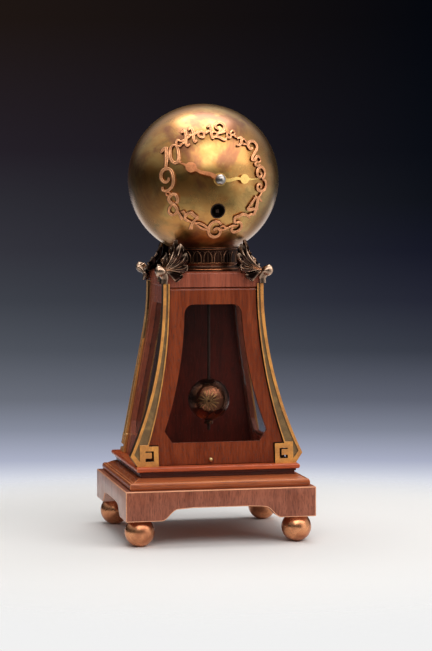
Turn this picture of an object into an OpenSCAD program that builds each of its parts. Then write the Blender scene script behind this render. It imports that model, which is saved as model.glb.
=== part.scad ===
// Table clock: a ball head with a pierced chapter ring on a concave, glazed trunk.
// Origin on the floor under the middle of the base, +Z up, dial facing -Y, millimetres.

/* [Base] */
// Width of the apron
base_w = 150.6; // [144:0.2:170]
// Depth of the apron
base_d = 140; // [134:0.2:160]
// Height of the apron boards
apron_h = 23.4; // [20:0.2:28]
// Thickness of the apron boards
apron_t = 9; // [7:0.5:12]
// Height of the arch in each apron board
arch_h = 8.8; // [5:0.2:11]
// Half length of the flat pad left at each end of an arch
arch_pad = 28; // [24:0.5:32]
// Diameter of the ball feet
foot_d = 23.4; // [20:0.2:24]
// How far the middle of a foot stands inside the apron's faces
foot_inset = 12.8; // [12:0.2:15]
// Diameter of the wood screw in each foot
foot_screw_d = 5; // [4:0.5:6]
// Width of the small flat that each foot stands on
foot_flat_d = 5; // [3:0.5:7]
// How far the bead moulding stands inside the apron
bead_inset = 3.9; // [2:0.1:6]
// Height of the bead moulding's rounded edge
bead_h = 5.8; // [4:0.2:8]
// Height of the slope above the bead
bead_slope_h = 2.8; // [1.6:0.2:4]
// How far the recessed neck stands inside the apron
neck_inset = 14; // [12:0.2:15.4]
// Height of the recessed neck
neck_h = 4.6; // [3.6:0.2:7]
// How far the top plate stands inside the apron
plate_inset = 10.4; // [8:0.2:11]
// Thickness of the top plate
plate_t = 3.8; // [3:0.2:6]

/* [Trunk] */
// Height from the top plate to the joint under the head block
trunk_h = 137.8; // [132:0.2:150]
// Width of the wood at the top
trunk_top_w = 74; // [72:0.5:78]
// Depth of the wood at the top
trunk_top_d = 74; // [72:0.5:78]
// Radius of the curve that starts the taper
taper_r = 250; // [220:5:300]
// Outward slope of the side boards below the curve
side_slope = 0.17; // [0.15:0.005:0.19]
// Outward slope of the front and back below the curve
front_slope = 0.11; // [0.09:0.005:0.13]
// Thickness of the side boards
side_t = 6; // [5:0.5:8]
// Thickness of the front frame
frame_t = 5; // [4.6:0.1:5.4]
// Thickness of the back board
back_t = 5; // [4:0.5:7]
// Height of the head block
head_h = 12; // [9:0.5:16]
// Thickness of the window glass
glass_t = 2; // [1.5:0.1:2.4]
// How far the glass reaches behind the wood round a window
rebate_w = 2.5; // [2:0.1:3]
// Height of the window's lower edge above the top plate
window_low = 17.3; // [16.4:0.1:22]
// Distance from the joint under the head block down to the window
window_drop = 13.4; // [11:0.2:18]
// Width of the front window where its side curves start
window_top_w = 45.6; // [40:0.4:47]
// Radius of the front window's side curves
window_r = 300; // [290:5:360]
// Wood left between a side window and the front or back face
side_stile = 13.5; // [12:0.5:16]
// Radius of the windows' upper corners
window_corner_r = 7; // [4:0.5:9]
// Width of the cut across the windows' lower corners
window_cut_w = 6; // [4:0.5:8]
// Height of the cut across the windows' lower corners
window_cut_h = 9; // [6:0.5:10]
// Diameter of the pins that the front frame swings on
frame_pin_d = 1.8; // [1.4:0.1:2]
// Diameter of the frame's brass pull
pull_d = 3.6; // [3:0.2:5]

/* [Mounts] */
// Half of the distance between the outer edges of the corner strips at the top
mount_top_x = 40; // [39.4:0.1:41]
// Radius of the outer edge of a corner strip
mount_outer_r = 310; // [300:2:340]
// Half of the distance between the inner edges of the corner strips at the top
mount_inner_x = 35; // [34.6:0.1:35.4]
// Radius of the inner edge of a corner strip
mount_inner_r = 400; // [390:5:420]
// How far a mount stands out from the wood
mount_proud = 2.5; // [2:0.1:3]
// Depth of the sunk field in a mount
field_sink = 0.9; // [0.5:0.1:1.2]
// Width of the outer rim of a mount
rim_w = 2.4; // [1.8:0.1:2.6]
// Width of the inner rim of a mount
inner_rim_w = 1; // [0.8:0.1:1.2]
// Height of the nose above the top plate
nose_h = 7.8; // [6:0.2:9]
// How far the strip's foot is drawn in below the nose
nose_cut = 5.4; // [4:0.2:6]
// Width of the square spiral at the strip's foot
key_w = 14.3; // [13:0.1:15]
// Height of the square spiral
key_h = 15.4; // [14.6:0.1:16]
// Width of the spiral's bands
key_band = 3.7; // [3.2:0.1:3.9]
// Height above the joint at which the leaf brackets meet the strips
leaf_seat = 3; // [2:0.5:4]
// Height of a leaf's highest tip above the joint
leaf_h = 35; // [33:0.5:35.5]
// Radius of the rounded knuckle that carries a leaf
knuckle_r = 4.2; // [3.6:0.1:4.6]
// Thickness of a leaf's sheet
leaf_t = 1.4; // [1.2:0.1:1.8]

/* [Collar] */
// Height of the turned collar
collar_h = 18.8; // [16:0.2:22]
// Outer radius of the collar's foot flange
collar_foot_r = 29; // [28:0.2:31]
// Radius of the collar under the leaf gallery
collar_r = 26.4; // [25.8:0.1:27]
// Outer radius of the collar's upper lip
collar_lip_r = 27.6; // [27.2:0.1:28.4]
// Radius of the bore that the pendulum hangs through
bore_r = 24.2; // [23.8:0.1:24.6]
// Number of leaves round the gallery
gallery_leaves = 20; // [16:1:24]
// Thickness of the gallery's backing band
gallery_t = 0.5; // [0.4:0.1:0.8]

/* [Head] */
// Diameter of the ball
ball_d = 120; // [116:1:124]
// Thickness of the ball's sheet
ball_t = 1.2; // [1:0.1:1.6]
// Diameter of the opening at the back of the ball
cap_d = 61; // [54:1:66]
// Length of the rear cap's inner skirt
skirt_l = 5; // [4:0.5:8]
// Mean radius of the chapter ring
ring_r = 37.6; // [37:0.2:38.2]
// Thickness of the chapter ring
ring_t = 1.5; // [1:0.1:1.8]
// Width of the ring's heaviest strokes
stroke_w = 2.4; // [2.1:0.1:2.7]
// Distance from the dial's centre down to the winding hole
wind_drop = 24.3; // [23.8:0.1:24.8]
// Diameter of the winding hole
wind_hole_d = 10; // [9:0.2:11]
// Length of the hour hand from the dial's centre
hour_l = 32.6; // [31:0.2:34]
// Length of the minute hand from the dial's centre
minute_l = 34; // [32:0.2:36]
// Angle of the hour hand, clockwise from twelve
hour_angle = 89; // [0:1:359]
// Angle of the minute hand, clockwise from twelve
minute_angle = 293; // [0:1:359]
// Thickness of a hand
hand_t = 0.8; // [0.6:0.1:1]

/* [Movement] */
// Radius of the round movement plates
plate_r = 38; // [37:0.2:38.4]
// Thickness of a movement plate
movement_plate_t = 1.5; // [1.2:0.1:1.8]
// Distance from the ball's middle forward to the front plate's front face
plate_front_y = 43.5; // [43:0.1:44]
// Distance between the movement plates
plate_gap = 14.5; // [14:0.1:15.2]
// Teeth of the great wheel on the barrel
great_teeth = 56; // [56]
// Leaves of the centre pinion
centre_leaves = 12; // [12]
// Teeth of the centre wheel
centre_teeth = 80; // [80]
// Leaves of the third pinion
third_leaves = 8; // [8]
// Pitch of the centre wheel's teeth, as a module
train_module = 0.36; // [0.34:0.01:0.37]
// Teeth of the escape wheel
escape_teeth = 30; // [30]
// Radius of the escape wheel
escape_r = 8.6; // [8:0.1:8.8]
// Height of the escape wheel above the dial's centre
escape_z = 22.3; // [22.1:0.1:22.5]
// Height of the anchor above the dial's centre
anchor_z = 35; // [34.9:0.1:35.4]
// Distance between the cannon pinion and the minute wheel
motion_centres = 11.2; // [11:0.1:11.6]
// Radius of an arbor
arbor_r = 1; // [0.9:0.05:1.1]
// Running clearance round an arbor or pin
run_gap = 0.06; // [0.04:0.01:0.08]

/* [Pendulum] */
// Distance from the pendulum's pivot to the bob's centre
pendulum_l = 208.7; // [200:0.5:214]
// Diameter of the ball bob
bob_d = 33; // [28:0.5:34]
// Diameter of the rod
rod_d = 2.4; // [2:0.1:2.8]
// Distance that the pendulum hangs in front of the ball's middle
pendulum_y = 20; // [19.6:0.1:20.4]
// Diameter of the rating nut
nut_d = 7; // [6:0.2:8]
// Turn of the bob's engraved face on the rod
bob_turn = 12; // [0:1:20]

/* [Hidden] */

wood = "#6b2416";
wood_dark = "#5a1d12";
copper = "#b5623a";
gilt = "#9a7440";
brass = "#b08a48";
steel = "#9aa0a6";
pane = "#c8d8dc55";

// Clearances between pieces
seat = 0.05;
frame_gap = 0.6;
rest_gap = 0.3;
big = 400;

// Heights, from the floor up
foot_flat_rise = foot_d / 2 - sqrt(pow(foot_d / 2, 2) - pow(foot_flat_d / 2, 2));
foot_z = foot_d / 2 - foot_flat_rise;
foot_neck_r = 7;
foot_x = base_w / 2 - foot_inset;
foot_y = base_d / 2 - foot_inset;
z_apron = foot_z + sqrt(pow(foot_d / 2, 2) - pow(foot_neck_r, 2));
z_bead = z_apron + apron_h;
z_neck = z_bead + bead_h + bead_slope_h;
z_plate = z_neck + neck_h;
z_floor = z_plate + plate_t;
z_joint = z_floor + trunk_h;
z_head = z_joint + head_h;
z_collar = z_head + collar_h;
ball_r = ball_d / 2;
ball_z = z_collar + sqrt(pow(ball_r, 2) - pow(collar_lip_r, 2));
z_leaf = z_joint + leaf_seat;

// Places in the movement, as offsets from the dial's centre
great_module = 2 * wind_drop / (great_teeth + centre_leaves);
third_reach = train_module * (centre_teeth + third_leaves) / 2;
third_x = -9.05;
third_z = sqrt(pow(third_reach, 2) - pow(third_x, 2));
motion_angle = 60;
cannon_teeth = 14;
minute_teeth = 42;
minute_leaves = 10;
hour_teeth = 40;
pivot_z = ball_z + anchor_z;
bob_z = pivot_z - pendulum_l;

// Distances forward from the ball's middle; those of the wheels are taken from the back plate
plate_back_y = plate_front_y - movement_plate_t - plate_gap;
hour_rise = 2.2;
minute_rise = 4;
end_play = 0.5;
wheel_t = 1.2;
centre_wheel_at = 13;
third_wheel_at = 9;
hub_front = ball_r + minute_rise + hand_t;

// Growth of a half width at a distance d below the place where a curve of radius r starts,
// with the slope s as a straight run once the curve is as steep as that
function flare(d, r, s) =
    let (turn = atan(s), drop = r * sin(turn))
    d <= 0 ? 0 : d < drop ? r - sqrt(r * r - d * d) : r * (1 - cos(turn)) + (d - drop) * s;
function bow(d, r) = d <= 0 ? 0 : r - sqrt(r * r - d * d);
function side_x(z) = trunk_top_w / 2 + flare(z_joint - z, taper_r, side_slope);
function front_y(z) = trunk_top_d / 2 + flare(z_joint - z, taper_r, front_slope);
function mount_out(z) = mount_top_x + bow(z_joint - z, mount_outer_r);
function mount_in(z) = mount_inner_x + bow(z_joint - z, mount_inner_r);
z_window_low = z_floor + window_low;
z_window_top = z_joint - window_drop;
z_window_bow = z_window_top + 4.4;
function window_x(z) = window_top_w / 2 + bow(z_window_bow - z, window_r);
function window_y(z) = front_y(z) - side_stile;

// Points of an ellipse's arc about c, from angle a0 to a1 in n steps
function arc(c, rx, ry, a0, a1, n) =
    [for (i = [0:n]) let (a = a0 + (a1 - a0) * i / n) [c[0] + rx * cos(a), c[1] + ry * sin(a)]];

// A smooth line through points, in n steps from each to the next, which heads for their neighbours
function bend(p, n) =
    let (last = len(p) - 1, q = concat([2 * p[0] - p[1]], p, [2 * p[last] - p[last - 1]]))
    concat([for (i = [1:last], k = [0:n - 1]) let (t = k / n, a = q[i - 1], b = q[i], c = q[i + 1], d = q[i + 2])
        0.5 * (2 * b + (c - a) * t + (2 * a - 5 * b + 4 * c - d) * t * t
            + (3 * b - a - 3 * c + d) * t * t * t)], [p[last]]);
function mirrored(points) = [for (i = [len(points) - 1:-1:0]) [-points[i][0], points[i][1]]];
function heights(z0, z1, n) = [for (i = [0:n]) z0 + (z1 - z0) * i / n];

// An outline drawn in x and z, made solid from y0 to y1
module along_y(y0, y1) {
    translate([0, y1, 0]) rotate([90, 0, 0]) linear_extrude(y1 - y0) children();
}

// An outline drawn in y and z, made solid from x0 to x1
module along_x(x0, x1) {
    translate([x0, 0, 0]) rotate([90, 0, 90]) linear_extrude(x1 - x0) children();
}

// A round bar along y from y0 to y1 at a place given by x and z
module bar_y(x, z, r, y0, y1) {
    translate([x, y1, z]) rotate([90, 0, 0]) cylinder(h = y1 - y0, r = r, $fn = 48);
}

// A rectangular moulding with mitred corners: inset gives [how far in, height] up the profile
module moulding(inset) {
    side = [for (p = inset) [base_w / 2 - p[0], p[1]]];
    front = [for (p = inset) [base_d / 2 - p[0], p[1]]];
    intersection() {
        along_y(-big, big) polygon(concat(side, mirrored(side)));
        along_x(-big, big) polygon(concat(front, mirrored(front)));
    }
}

module foot(x, y) {
    color(copper) translate([x, y, 0]) {
        difference() {
            translate([0, 0, foot_z]) sphere(d = foot_d, $fn = 64);
            translate([0, 0, -foot_d]) cylinder(h = foot_d, r = foot_d, $fn = 48);
            translate([0, 0, z_apron]) cylinder(h = foot_d, r = foot_d, $fn = 48);
        }
        translate([0, 0, z_apron - 1]) cylinder(h = foot_screw_l + 1, d = foot_screw_d, $fn = 32);
    }
}

foot_screw_l = 12;
block_w = 20;

// Half of an arch's outline: from the pad, an ogee up to the flat crown
function arch_side(half, rise) =
    let (x0 = half - arch_pad, low = z_apron, run = 13)
    concat([[x0, low - 1], [x0, low]],
        [for (i = [1:8]) let (t = i / 8) [x0 - run * t, low + rise * (1 - cos(180 * t)) / 2]],
        [[x0 - run - 12, low + rise + 0.8]]);

module arch_shape(half) {
    points = arch_side(half, arch_h);
    polygon(concat(points, mirrored(points)));
}

module apron() {
    inner_w = base_w - 2 * apron_t;
    inner_d = base_d - 2 * apron_t;
    color(wood) difference() {
        translate([-base_w / 2, -base_d / 2, z_apron]) cube([base_w, base_d, apron_h]);
        difference() {
            translate([-inner_w / 2, -inner_d / 2, z_apron - 1]) cube([inner_w, inner_d, apron_h + 2]);
            for (x = [-1, 1])
                for (y = [-1, 1])
                    translate([x * (inner_w - block_w) / 2, y * (inner_d - block_w) / 2, z_apron + apron_h / 2])
                        cube([block_w, block_w, apron_h], center = true);
        }
        along_y(-big, big) arch_shape(base_w / 2);
        along_x(-big, big) arch_shape(base_d / 2);
        for (x = [-foot_x, foot_x])
            for (y = [-foot_y, foot_y])
                translate([x, y, z_apron - 1])
                    cylinder(h = foot_screw_l + 1.5, d = foot_screw_d + 2 * seat, $fn = 32);
    }
}

module base_bead() {
    edge_r = bead_h / 2;
    round_edge = [for (p = arc([0, 0], edge_r * 0.55, edge_r, -90, 90, 8))
        [bead_inset + edge_r * 0.55 - p[0], z_bead + edge_r + p[1]]];
    color(wood) moulding(concat(round_edge,
        [[bead_inset + 3.4, z_bead + bead_h], [bead_inset + 6, z_bead + bead_h + bead_slope_h * 0.55],
        [neck_inset - 1.2, z_neck], [neck_inset, z_neck]]));
}

module base_neck() {
    step = 1;
    color(wood_dark) moulding([[neck_inset, z_neck], [neck_inset, z_neck + neck_h * 0.6],
        [neck_inset - step, z_neck + neck_h * 0.6], [neck_inset - step, z_plate]]);
}

module base_plate() {
    edge_r = plate_t / 2;
    color(wood) moulding([for (p = arc([0, 0], edge_r * 0.7, edge_r, -90, 90, 8))
        [plate_inset + edge_r * 0.7 - p[0], z_plate + edge_r + p[1]]]);
}

// Outline of the trunk's front or back face in x and z, set in from the side faces by inset
module front_outline(inset, z0, z1) {
    side = [for (z = heights(z0, z1, 24)) [side_x(z) - inset, z]];
    polygon(concat(side, mirrored(side)));
}

// A layer in y and z that follows the front face, from a to b in from the face
module front_layer(a, b, z0, z1) {
    zs = heights(z0, z1, 24);
    n = len(zs) - 1;
    polygon(concat([for (z = zs) [-front_y(z) + a, z]], [for (i = [n:-1:0]) [-front_y(zs[i]) + b, zs[i]]]));
}

// The same kind of layer in x and z on the left side face
module side_layer(a, b, z0, z1) {
    zs = heights(z0, z1, 24);
    n = len(zs) - 1;
    polygon(concat([for (z = zs) [-side_x(z) + a, z]], [for (i = [n:-1:0]) [-side_x(zs[i]) + b, zs[i]]]));
}

// Half outlines of the windows, from the lower edge round to the upper edge
function front_window_side() =
    concat([[window_x(z_window_low + window_cut_h) - window_cut_w, z_window_low]],
        [for (z = heights(z_window_low + window_cut_h, z_window_top - window_corner_r, 12)) [window_x(z), z]],
        arc([window_x(z_window_top) - window_corner_r, z_window_top - window_corner_r],
            window_corner_r, window_corner_r, 15, 90, 5));
function side_window_side() =
    concat([[window_y(z_window_low + window_cut_h) - window_cut_w, z_window_low]],
        [for (z = heights(z_window_low + window_cut_h, z_window_top - window_corner_r, 6)) [window_y(z), z]],
        arc([window_y(z_window_top) - window_corner_r, z_window_top - window_corner_r],
            window_corner_r, window_corner_r, 15, 90, 5));

module window_outline(side, grow) {
    offset(delta = grow) polygon(concat(side, mirrored(side)));
}

module side_board() {
    color(wood) difference() {
        intersection() {
            along_y(-big, big) side_layer(0, side_t, z_floor, z_joint);
            along_x(-big, 0) side_board_outline();
        }
        along_x(-big, 0) window_outline(side_window_side(), 0);
        intersection() {
            along_x(-big, 0) window_outline(side_window_side(), rebate_w + seat);
            along_y(-big, big) side_layer(side_t - glass_t - seat, side_t + 1, z_floor, z_joint);
        }
    }
}

// A side board reaches from behind the front frame and mounts to the back face
module side_board_outline() {
    zs = heights(z_floor, z_joint, 24);
    n = len(zs) - 1;
    polygon(concat([for (z = zs) [-front_y(z) + frame_t + rest_gap, z]],
        [for (i = [n:-1:0]) [front_y(zs[i]), zs[i]]]));
}

module side_glass() {
    color(pane) intersection() {
        along_x(-big, 0) window_outline(side_window_side(), rebate_w);
        along_y(-big, big) side_layer(side_t - glass_t, side_t, z_floor, z_joint);
    }
}

module back_board() {
    color(wood_dark) intersection() {
        along_y(-big, big) front_outline(side_t + seat, z_floor, z_joint);
        mirror([0, 1, 0]) along_x(-big, big) front_layer(0, back_t, z_floor, z_joint);
    }
}

module head_block() {
    edge = 1.2;
    half_w = trunk_top_w / 2;
    half_d = trunk_top_d / 2;
    color(wood) difference() {
        intersection() {
            along_y(-big, big) polygon(concat(
                [[half_w, z_joint], [half_w, z_head - edge], [half_w - edge, z_head]],
                mirrored([[half_w, z_joint], [half_w, z_head - edge], [half_w - edge, z_head]])));
            along_x(-big, big) polygon(concat(
                [[half_d, z_joint], [half_d, z_head - edge], [half_d - edge, z_head]],
                mirrored([[half_d, z_joint], [half_d, z_head - edge], [half_d - edge, z_head]])));
        }
        translate([0, 0, z_joint - 1]) cylinder(h = head_h + 2, r = bore_r + 0.4, $fn = 64);
    }
}

// The front frame swings on pins at the middle of its rounded top edge
frame_pin_z = z_joint - rest_gap - frame_t / 2;
frame_pin_y = -front_y(frame_pin_z) + frame_t / 2;
frame_low = z_floor + 0.5;

// The frame keeps clear of the strips' inner edges and of the square spirals at their feet
module frame_outline() {
    notch_x = key_in - frame_gap;
    notch_z = z_floor + key_h + frame_gap;
    side = concat([[notch_x, frame_low], [notch_x, notch_z]],
        [for (z = heights(notch_z, z_joint, 20)) [mount_in(z) - frame_gap, z]]);
    polygon(concat(side, mirrored(side)));
}

module front_frame() {
    color(wood) difference() {
        union() {
            intersection() {
                along_y(-big, big) frame_outline();
                along_x(-big, big) front_layer(0, frame_t, frame_low, frame_pin_z);
            }
            translate([-frame_top_x, frame_pin_y, frame_pin_z]) rotate([0, 90, 0])
                cylinder(h = 2 * frame_top_x, d = frame_t, $fn = 48);
        }
        along_y(-big, big) window_outline(front_window_side(), 0);
        intersection() {
            along_y(-big, 0) window_outline(front_window_side(), rebate_w + seat);
            along_x(-big, big) front_layer(frame_t - glass_t - seat, frame_t + 1, z_floor, frame_pin_z - 4);
        }
        for (s = [-1, 1])
            translate([s * frame_top_x, frame_pin_y, frame_pin_z]) rotate([0, s * 90, 0])
                translate([0, 0, -frame_pin_in]) cylinder(h = frame_pin_in + 1, d = frame_pin_d + 0.02, $fn = 32);
        bar_y(pull_x, pull_z, pull_d / 4 + seat, -big, big);
    }
}

frame_top_x = mount_in(frame_pin_z) - frame_gap;
frame_pin_in = 4;
frame_pin_out = 2.6;
pull_z = z_floor + 4;
pull_x = -5;

module frame_pins() {
    color(brass) for (s = [-1, 1])
        translate([s * frame_top_x, frame_pin_y, frame_pin_z]) rotate([0, s * 90, 0])
            translate([0, 0, -frame_pin_in]) cylinder(h = frame_pin_in + frame_pin_out, d = frame_pin_d, $fn = 32);
}

module frame_pull() {
    face = -front_y(pull_z) - 0.3;
    color(brass) {
        bar_y(pull_x, pull_z, pull_d / 4, face - 0.5, face + frame_t - 0.5);
        intersection() {
            translate([pull_x, face - pull_d * 0.3, pull_z]) sphere(d = pull_d, $fn = 32);
            bar_y(pull_x, pull_z, pull_d, face - pull_d, face);
        }
    }
}

module front_glass() {
    color(pane) intersection() {
        along_y(-big, 0) window_outline(front_window_side(), rebate_w);
        along_x(-big, big) front_layer(frame_t - glass_t, frame_t, z_floor, frame_pin_z - 4);
    }
}

// Corner strips: the strip's foot, and the square spiral beside it
z_nose = z_floor + nose_h;
strip_foot = mount_out(z_nose) - nose_cut;
key_out = strip_foot - rim_w;
key_in = key_out - key_w;

// The strip and the spiral's upper band overlap, so that the casting is one piece
module strip_outline() {
    overlap = 4;
    key_top = z_floor + key_h - 1;
    ins = heights(key_top, z_leaf, 14);
    polygon(concat([[key_out - overlap, z_floor], [strip_foot, z_floor]],
        [for (z = heights(z_nose, z_leaf, 16)) [mount_out(z), z]],
        [for (i = [14:-1:0]) [mount_in(ins[i]), ins[i]]],
        [[key_out - overlap, key_top]]));
    key_outline();
}

// The square spiral: along the foot, up the inner side, back along the top and in again
module key_outline() {
    low_gap = 2.5;
    side_gap = 1.6;
    top_gap = 1;
    translate([key_in, z_floor]) polygon([[0, 0], [key_w, 0], [key_w, key_band], [key_band, key_band],
        [key_band, key_h - key_band], [key_w - key_band, key_h - key_band],
        [key_w - key_band, key_h - key_band - top_gap], [key_band + side_gap, key_h - key_band - top_gap],
        [key_band + side_gap, key_band + low_gap], [key_w, key_band + low_gap], [key_w, key_h], [0, key_h]]);
}

// The field is sunk between the rims; it runs down beside the spiral to the foot
module strip_field() {
    zs = heights(z_nose + 1.4, z_leaf + 1, 16);
    ins = heights(z_floor + key_h + 1.2, z_leaf + 1, 14);
    polygon(concat([[strip_foot - rim_w * 0.8, z_floor + key_band]],
        [for (z = zs) [mount_out(z) - rim_w, z]],
        [for (i = [14:-1:0]) [mount_in(ins[i]) + inner_rim_w, ins[i]]],
        [[key_out + 0.4, z_floor + key_h + 1.2], [key_out + 0.4, z_floor + key_band]]));
}

module mount_front() {
    color(gilt) difference() {
        intersection() {
            along_y(-big, 0) strip_outline();
            along_x(-big, big) front_layer(-mount_proud, frame_t, z_floor, z_leaf);
        }
        intersection() {
            along_y(-big, 0) strip_field();
            along_x(-big, big) front_layer(-mount_proud - 1, -mount_proud + field_sink, z_floor - 1, z_leaf + 1);
        }
        translate([frame_top_x, frame_pin_y, frame_pin_z]) rotate([0, 90, 0])
            cylinder(h = frame_pin_out + 1, d = frame_pin_d + 2 * run_gap, $fn = 32);
        translate([0, -trunk_top_d / 2 - seat, z_joint - seat])
            cube([trunk_top_w / 2 + seat, trunk_top_d, head_h]);
    }
}

// The rear strips lie on the side faces along the back edge, with their spirals facing sideways
module rear_strip_outline(a, b) {
    zs = heights(z_floor + key_h - 1, z_leaf, 16);
    n = len(zs) - 1;
    polygon(concat([for (z = zs) [rear_in(z) + b, z]], [for (i = [n:-1:0]) [rear_out(zs[i]) - a, zs[i]]]));
}
function rear_out(z) = front_y(z) - 0.4;
function rear_in(z) = rear_out(z) - (mount_out(z) - mount_in(z));
rear_key_in = rear_out(z_floor) - key_w;

module mount_rear() {
    color(gilt) difference() {
        for (part = [0, 1])
            intersection() {
                along_x(0, big) {
                    if (part == 0) rear_strip_outline(0, 0);
                    if (part == 1) translate([rear_key_in - key_in, 0]) key_outline();
                }
                mirror([1, 0, 0]) along_y(-big, big) side_layer(-mount_proud, -seat, z_floor, z_leaf);
            }
        intersection() {
            along_x(0, big) rear_strip_outline(rim_w, inner_rim_w);
            mirror([1, 0, 0]) along_y(-big, big)
                side_layer(-mount_proud - 1, -mount_proud + field_sink, z_floor - 1, z_leaf + 1);
        }
    }
}

// Leaf brackets: a shoulder turns out from the strip to a knuckle, and a thin sheet fans inwards from it
// in nine hollow lobes, whose tips curl up. Places are taken from the head block's lower corner, in
// hundredths of leaf_h.
function of_leaf(p) = p * leaf_h / 100;
knuckle_at = of_leaf([17, -13, 39]);
// Tips of the lobes, from the lowest up to the one on the corner's diagonal, and the border below them
lobe_tips = of_leaf([[-33, -8, 20], [-47, -8, 38], [-52, 10, 64], [-45, 25, 85], [-31, 31, 100]]);
lobe_border = of_leaf([-20, -9, 12]);
// How far below its tip each rib turns up
lobe_turns = of_leaf([0, 3, 13, 21, 29]);
function swap(p) = [-p[1], -p[0], p[2]];
function both_ways(list) = concat(list, [for (i = [len(list) - 2:-1:0]) list[i]]);
fan_tips = concat([lobe_border],
    bend([for (i = [0:8]) i < 5 ? lobe_tips[i] : swap(lobe_tips[8 - i])], 4), [swap(lobe_border)]);
fan_turns = concat([0], [for (h = bend([for (h = both_ways(lobe_turns)) [h, 0]], 4)) h[0]], [0]);
fan_rows = 9;
fan_columns = len(fan_tips) - 1;
fan_root = 0.14;

// Steps of a column within its lobe: 0 is the middle, 1 and 3 the raised lines, 2 the groove between lobes
function fan_step(j) = j == 0 || j == fan_columns ? 1 : (j - 1) % 4;
function fan_edge(j) =
    let (k = fan_step(j), back = k == 2 ? 0.2 : k == 0 ? 0 : 0.03)
    fan_tips[j] + (knuckle_at - fan_tips[j]) * back;
// Direction in which the sheet faces, from the front wing over the top to the side wing
function fan_out(j) =
    let (t = j / fan_columns, top = sin(180 * t), a = 8 + 74 * t, d = [sin(a), -cos(a), 1.1 * top])
    d / norm(d);
function fan_relief(j, u) =
    let (k = fan_step(j))
    of_leaf((k == 0 ? 0 : k == 2 ? -2 : 2.3) * min(1, u * 2.5) + 7 * pow(max(0, (u - 0.7) / 0.3), 2));
// A rib runs level from the knuckle and then turns up to its tip
function fan_point(j, u) =
    let (e = fan_edge(j), k = knuckle_at, a = [(k[0] + e[0]) / 2, (k[1] + e[1]) / 2, k[2] - (e[2] - k[2]) * 0.05],
        b = [e[0] + (k[0] - e[0]) * 0.12, e[1] + (k[1] - e[1]) * 0.12, e[2] - fan_turns[j]], v = 1 - u)
    v * v * v * k + 3 * v * v * u * a + 3 * v * u * u * b + u * u * u * e + fan_out(j) * fan_relief(j, u);

module leaf_fan() {
    count = (fan_rows + 1) * (fan_columns + 1);
    us = heights(fan_root, 1, fan_rows);
    front = [for (u = us, j = [0:fan_columns]) fan_point(j, u)];
    rear = [for (u = us, j = [0:fan_columns]) fan_point(j, u) - fan_out(j) * leaf_t * min(1, 0.3 + u)];
    across = fan_columns + 1;
    rim = concat([for (j = [0:fan_columns]) j], [for (i = [1:fan_rows]) i * across + fan_columns],
        [for (j = [fan_columns - 1:-1:0]) fan_rows * across + j], [for (i = [fan_rows - 1:-1:1]) i * across]);
    polyhedron(concat(front, rear), concat(
        [for (i = [0:fan_rows - 1], j = [0:fan_columns - 1]) let (a = i * across + j) each
            [[a, a + across, a + 1], [a + 1, a + across, a + across + 1]]],
        [for (i = [0:fan_rows - 1], j = [0:fan_columns - 1]) let (a = count + i * across + j) each
            [[a, a + 1, a + across], [a + 1, a + across + 1, a + across]]],
        [for (k = [0:len(rim) - 1]) let (a = rim[k], b = rim[(k + 1) % len(rim)]) each
            [[a, b, a + count], [b, b + count, a + count]]]));
}

// The shoulder: a bar that swells as it bends out from the strip's upper end to the knuckle
module leaf_stem() {
    strip_end = [(mount_top_x + mount_inner_x) / 2 - trunk_top_w / 2, -0.2, leaf_seat + 1];
    path = bend([strip_end, of_leaf([6, -4, 24]), knuckle_at], 5);
    last = len(path) - 1;
    thin_r = 0.6 * knuckle_r;
    function stem_r(i) = thin_r + (knuckle_r - 0.6 - thin_r) * i / last;
    hull() {
        translate(strip_end) cube([mount_top_x - mount_inner_x - 0.2, 4.8, 2], center = true);
        translate(path[1]) sphere(r = stem_r(1), $fn = 16);
    }
    for (i = [1:last - 1])
        hull() {
            translate(path[i]) sphere(r = stem_r(i), $fn = 16);
            translate(path[i + 1]) sphere(r = stem_r(i + 1), $fn = 16);
        }
}

module leaf() {
    color(gilt) difference() {
        translate([trunk_top_w / 2, -trunk_top_d / 2, z_joint]) union() {
            translate(knuckle_at) sphere(r = knuckle_r, $fn = 24);
            leaf_stem();
            leaf_fan();
        }
        translate([0, 0, ball_z]) sphere(r = ball_r + rest_gap, $fn = 96);
        translate([-big / 2, -big / 2, z_leaf - big]) cube([big, big, big]);
        translate([-big, -trunk_top_d / 2 - seat, z_joint]) cube([big + trunk_top_w / 2 + seat,
            big, head_h + seat]);
        translate([0, 0, z_head - 1]) cylinder(h = collar_h + 2, r = collar_foot_r + rest_gap, $fn = 96);
    }
}

// Collar and gallery
z_gallery = z_head + 6.8;
gallery_h = 9.6;

module collar() {
    color("#3d2a1a") difference() {
        rotate_extrude($fn = 96) polygon(concat(
            [[bore_r, z_head], [collar_foot_r, z_head], [collar_foot_r, z_head + 1.6],
            [collar_foot_r - 0.8, z_head + 2.4]],
            arc([collar_foot_r - 0.8, z_head + 4.6], 2, 2.2, 270, 180, 5),
            [[collar_r + 0.9, z_head + 5.4], [collar_r + 0.9, z_gallery - 0.1], [collar_r, z_gallery - 0.1],
            [collar_r, z_gallery + gallery_h + 0.1], [collar_lip_r, z_gallery + gallery_h + 0.7],
            [collar_lip_r, z_collar + 1], [bore_r, z_collar + 1]]));
        translate([0, 0, ball_z]) sphere(r = ball_r + seat, $fn = 96);
    }
}

// Outline of one lotus leaf with a raised middle leaf, standing at the origin
module lotus(w, h) {
    half = concat([[w / 2, 0], [w / 2, h * 0.35]],
        [for (i = [1:5]) let (t = i / 5) [w / 2 * (1 - t * t), h * (0.35 + 0.65 * t)]]);
    polygon(concat(half, mirrored([for (i = [0:5]) half[i]])));
}

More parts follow.
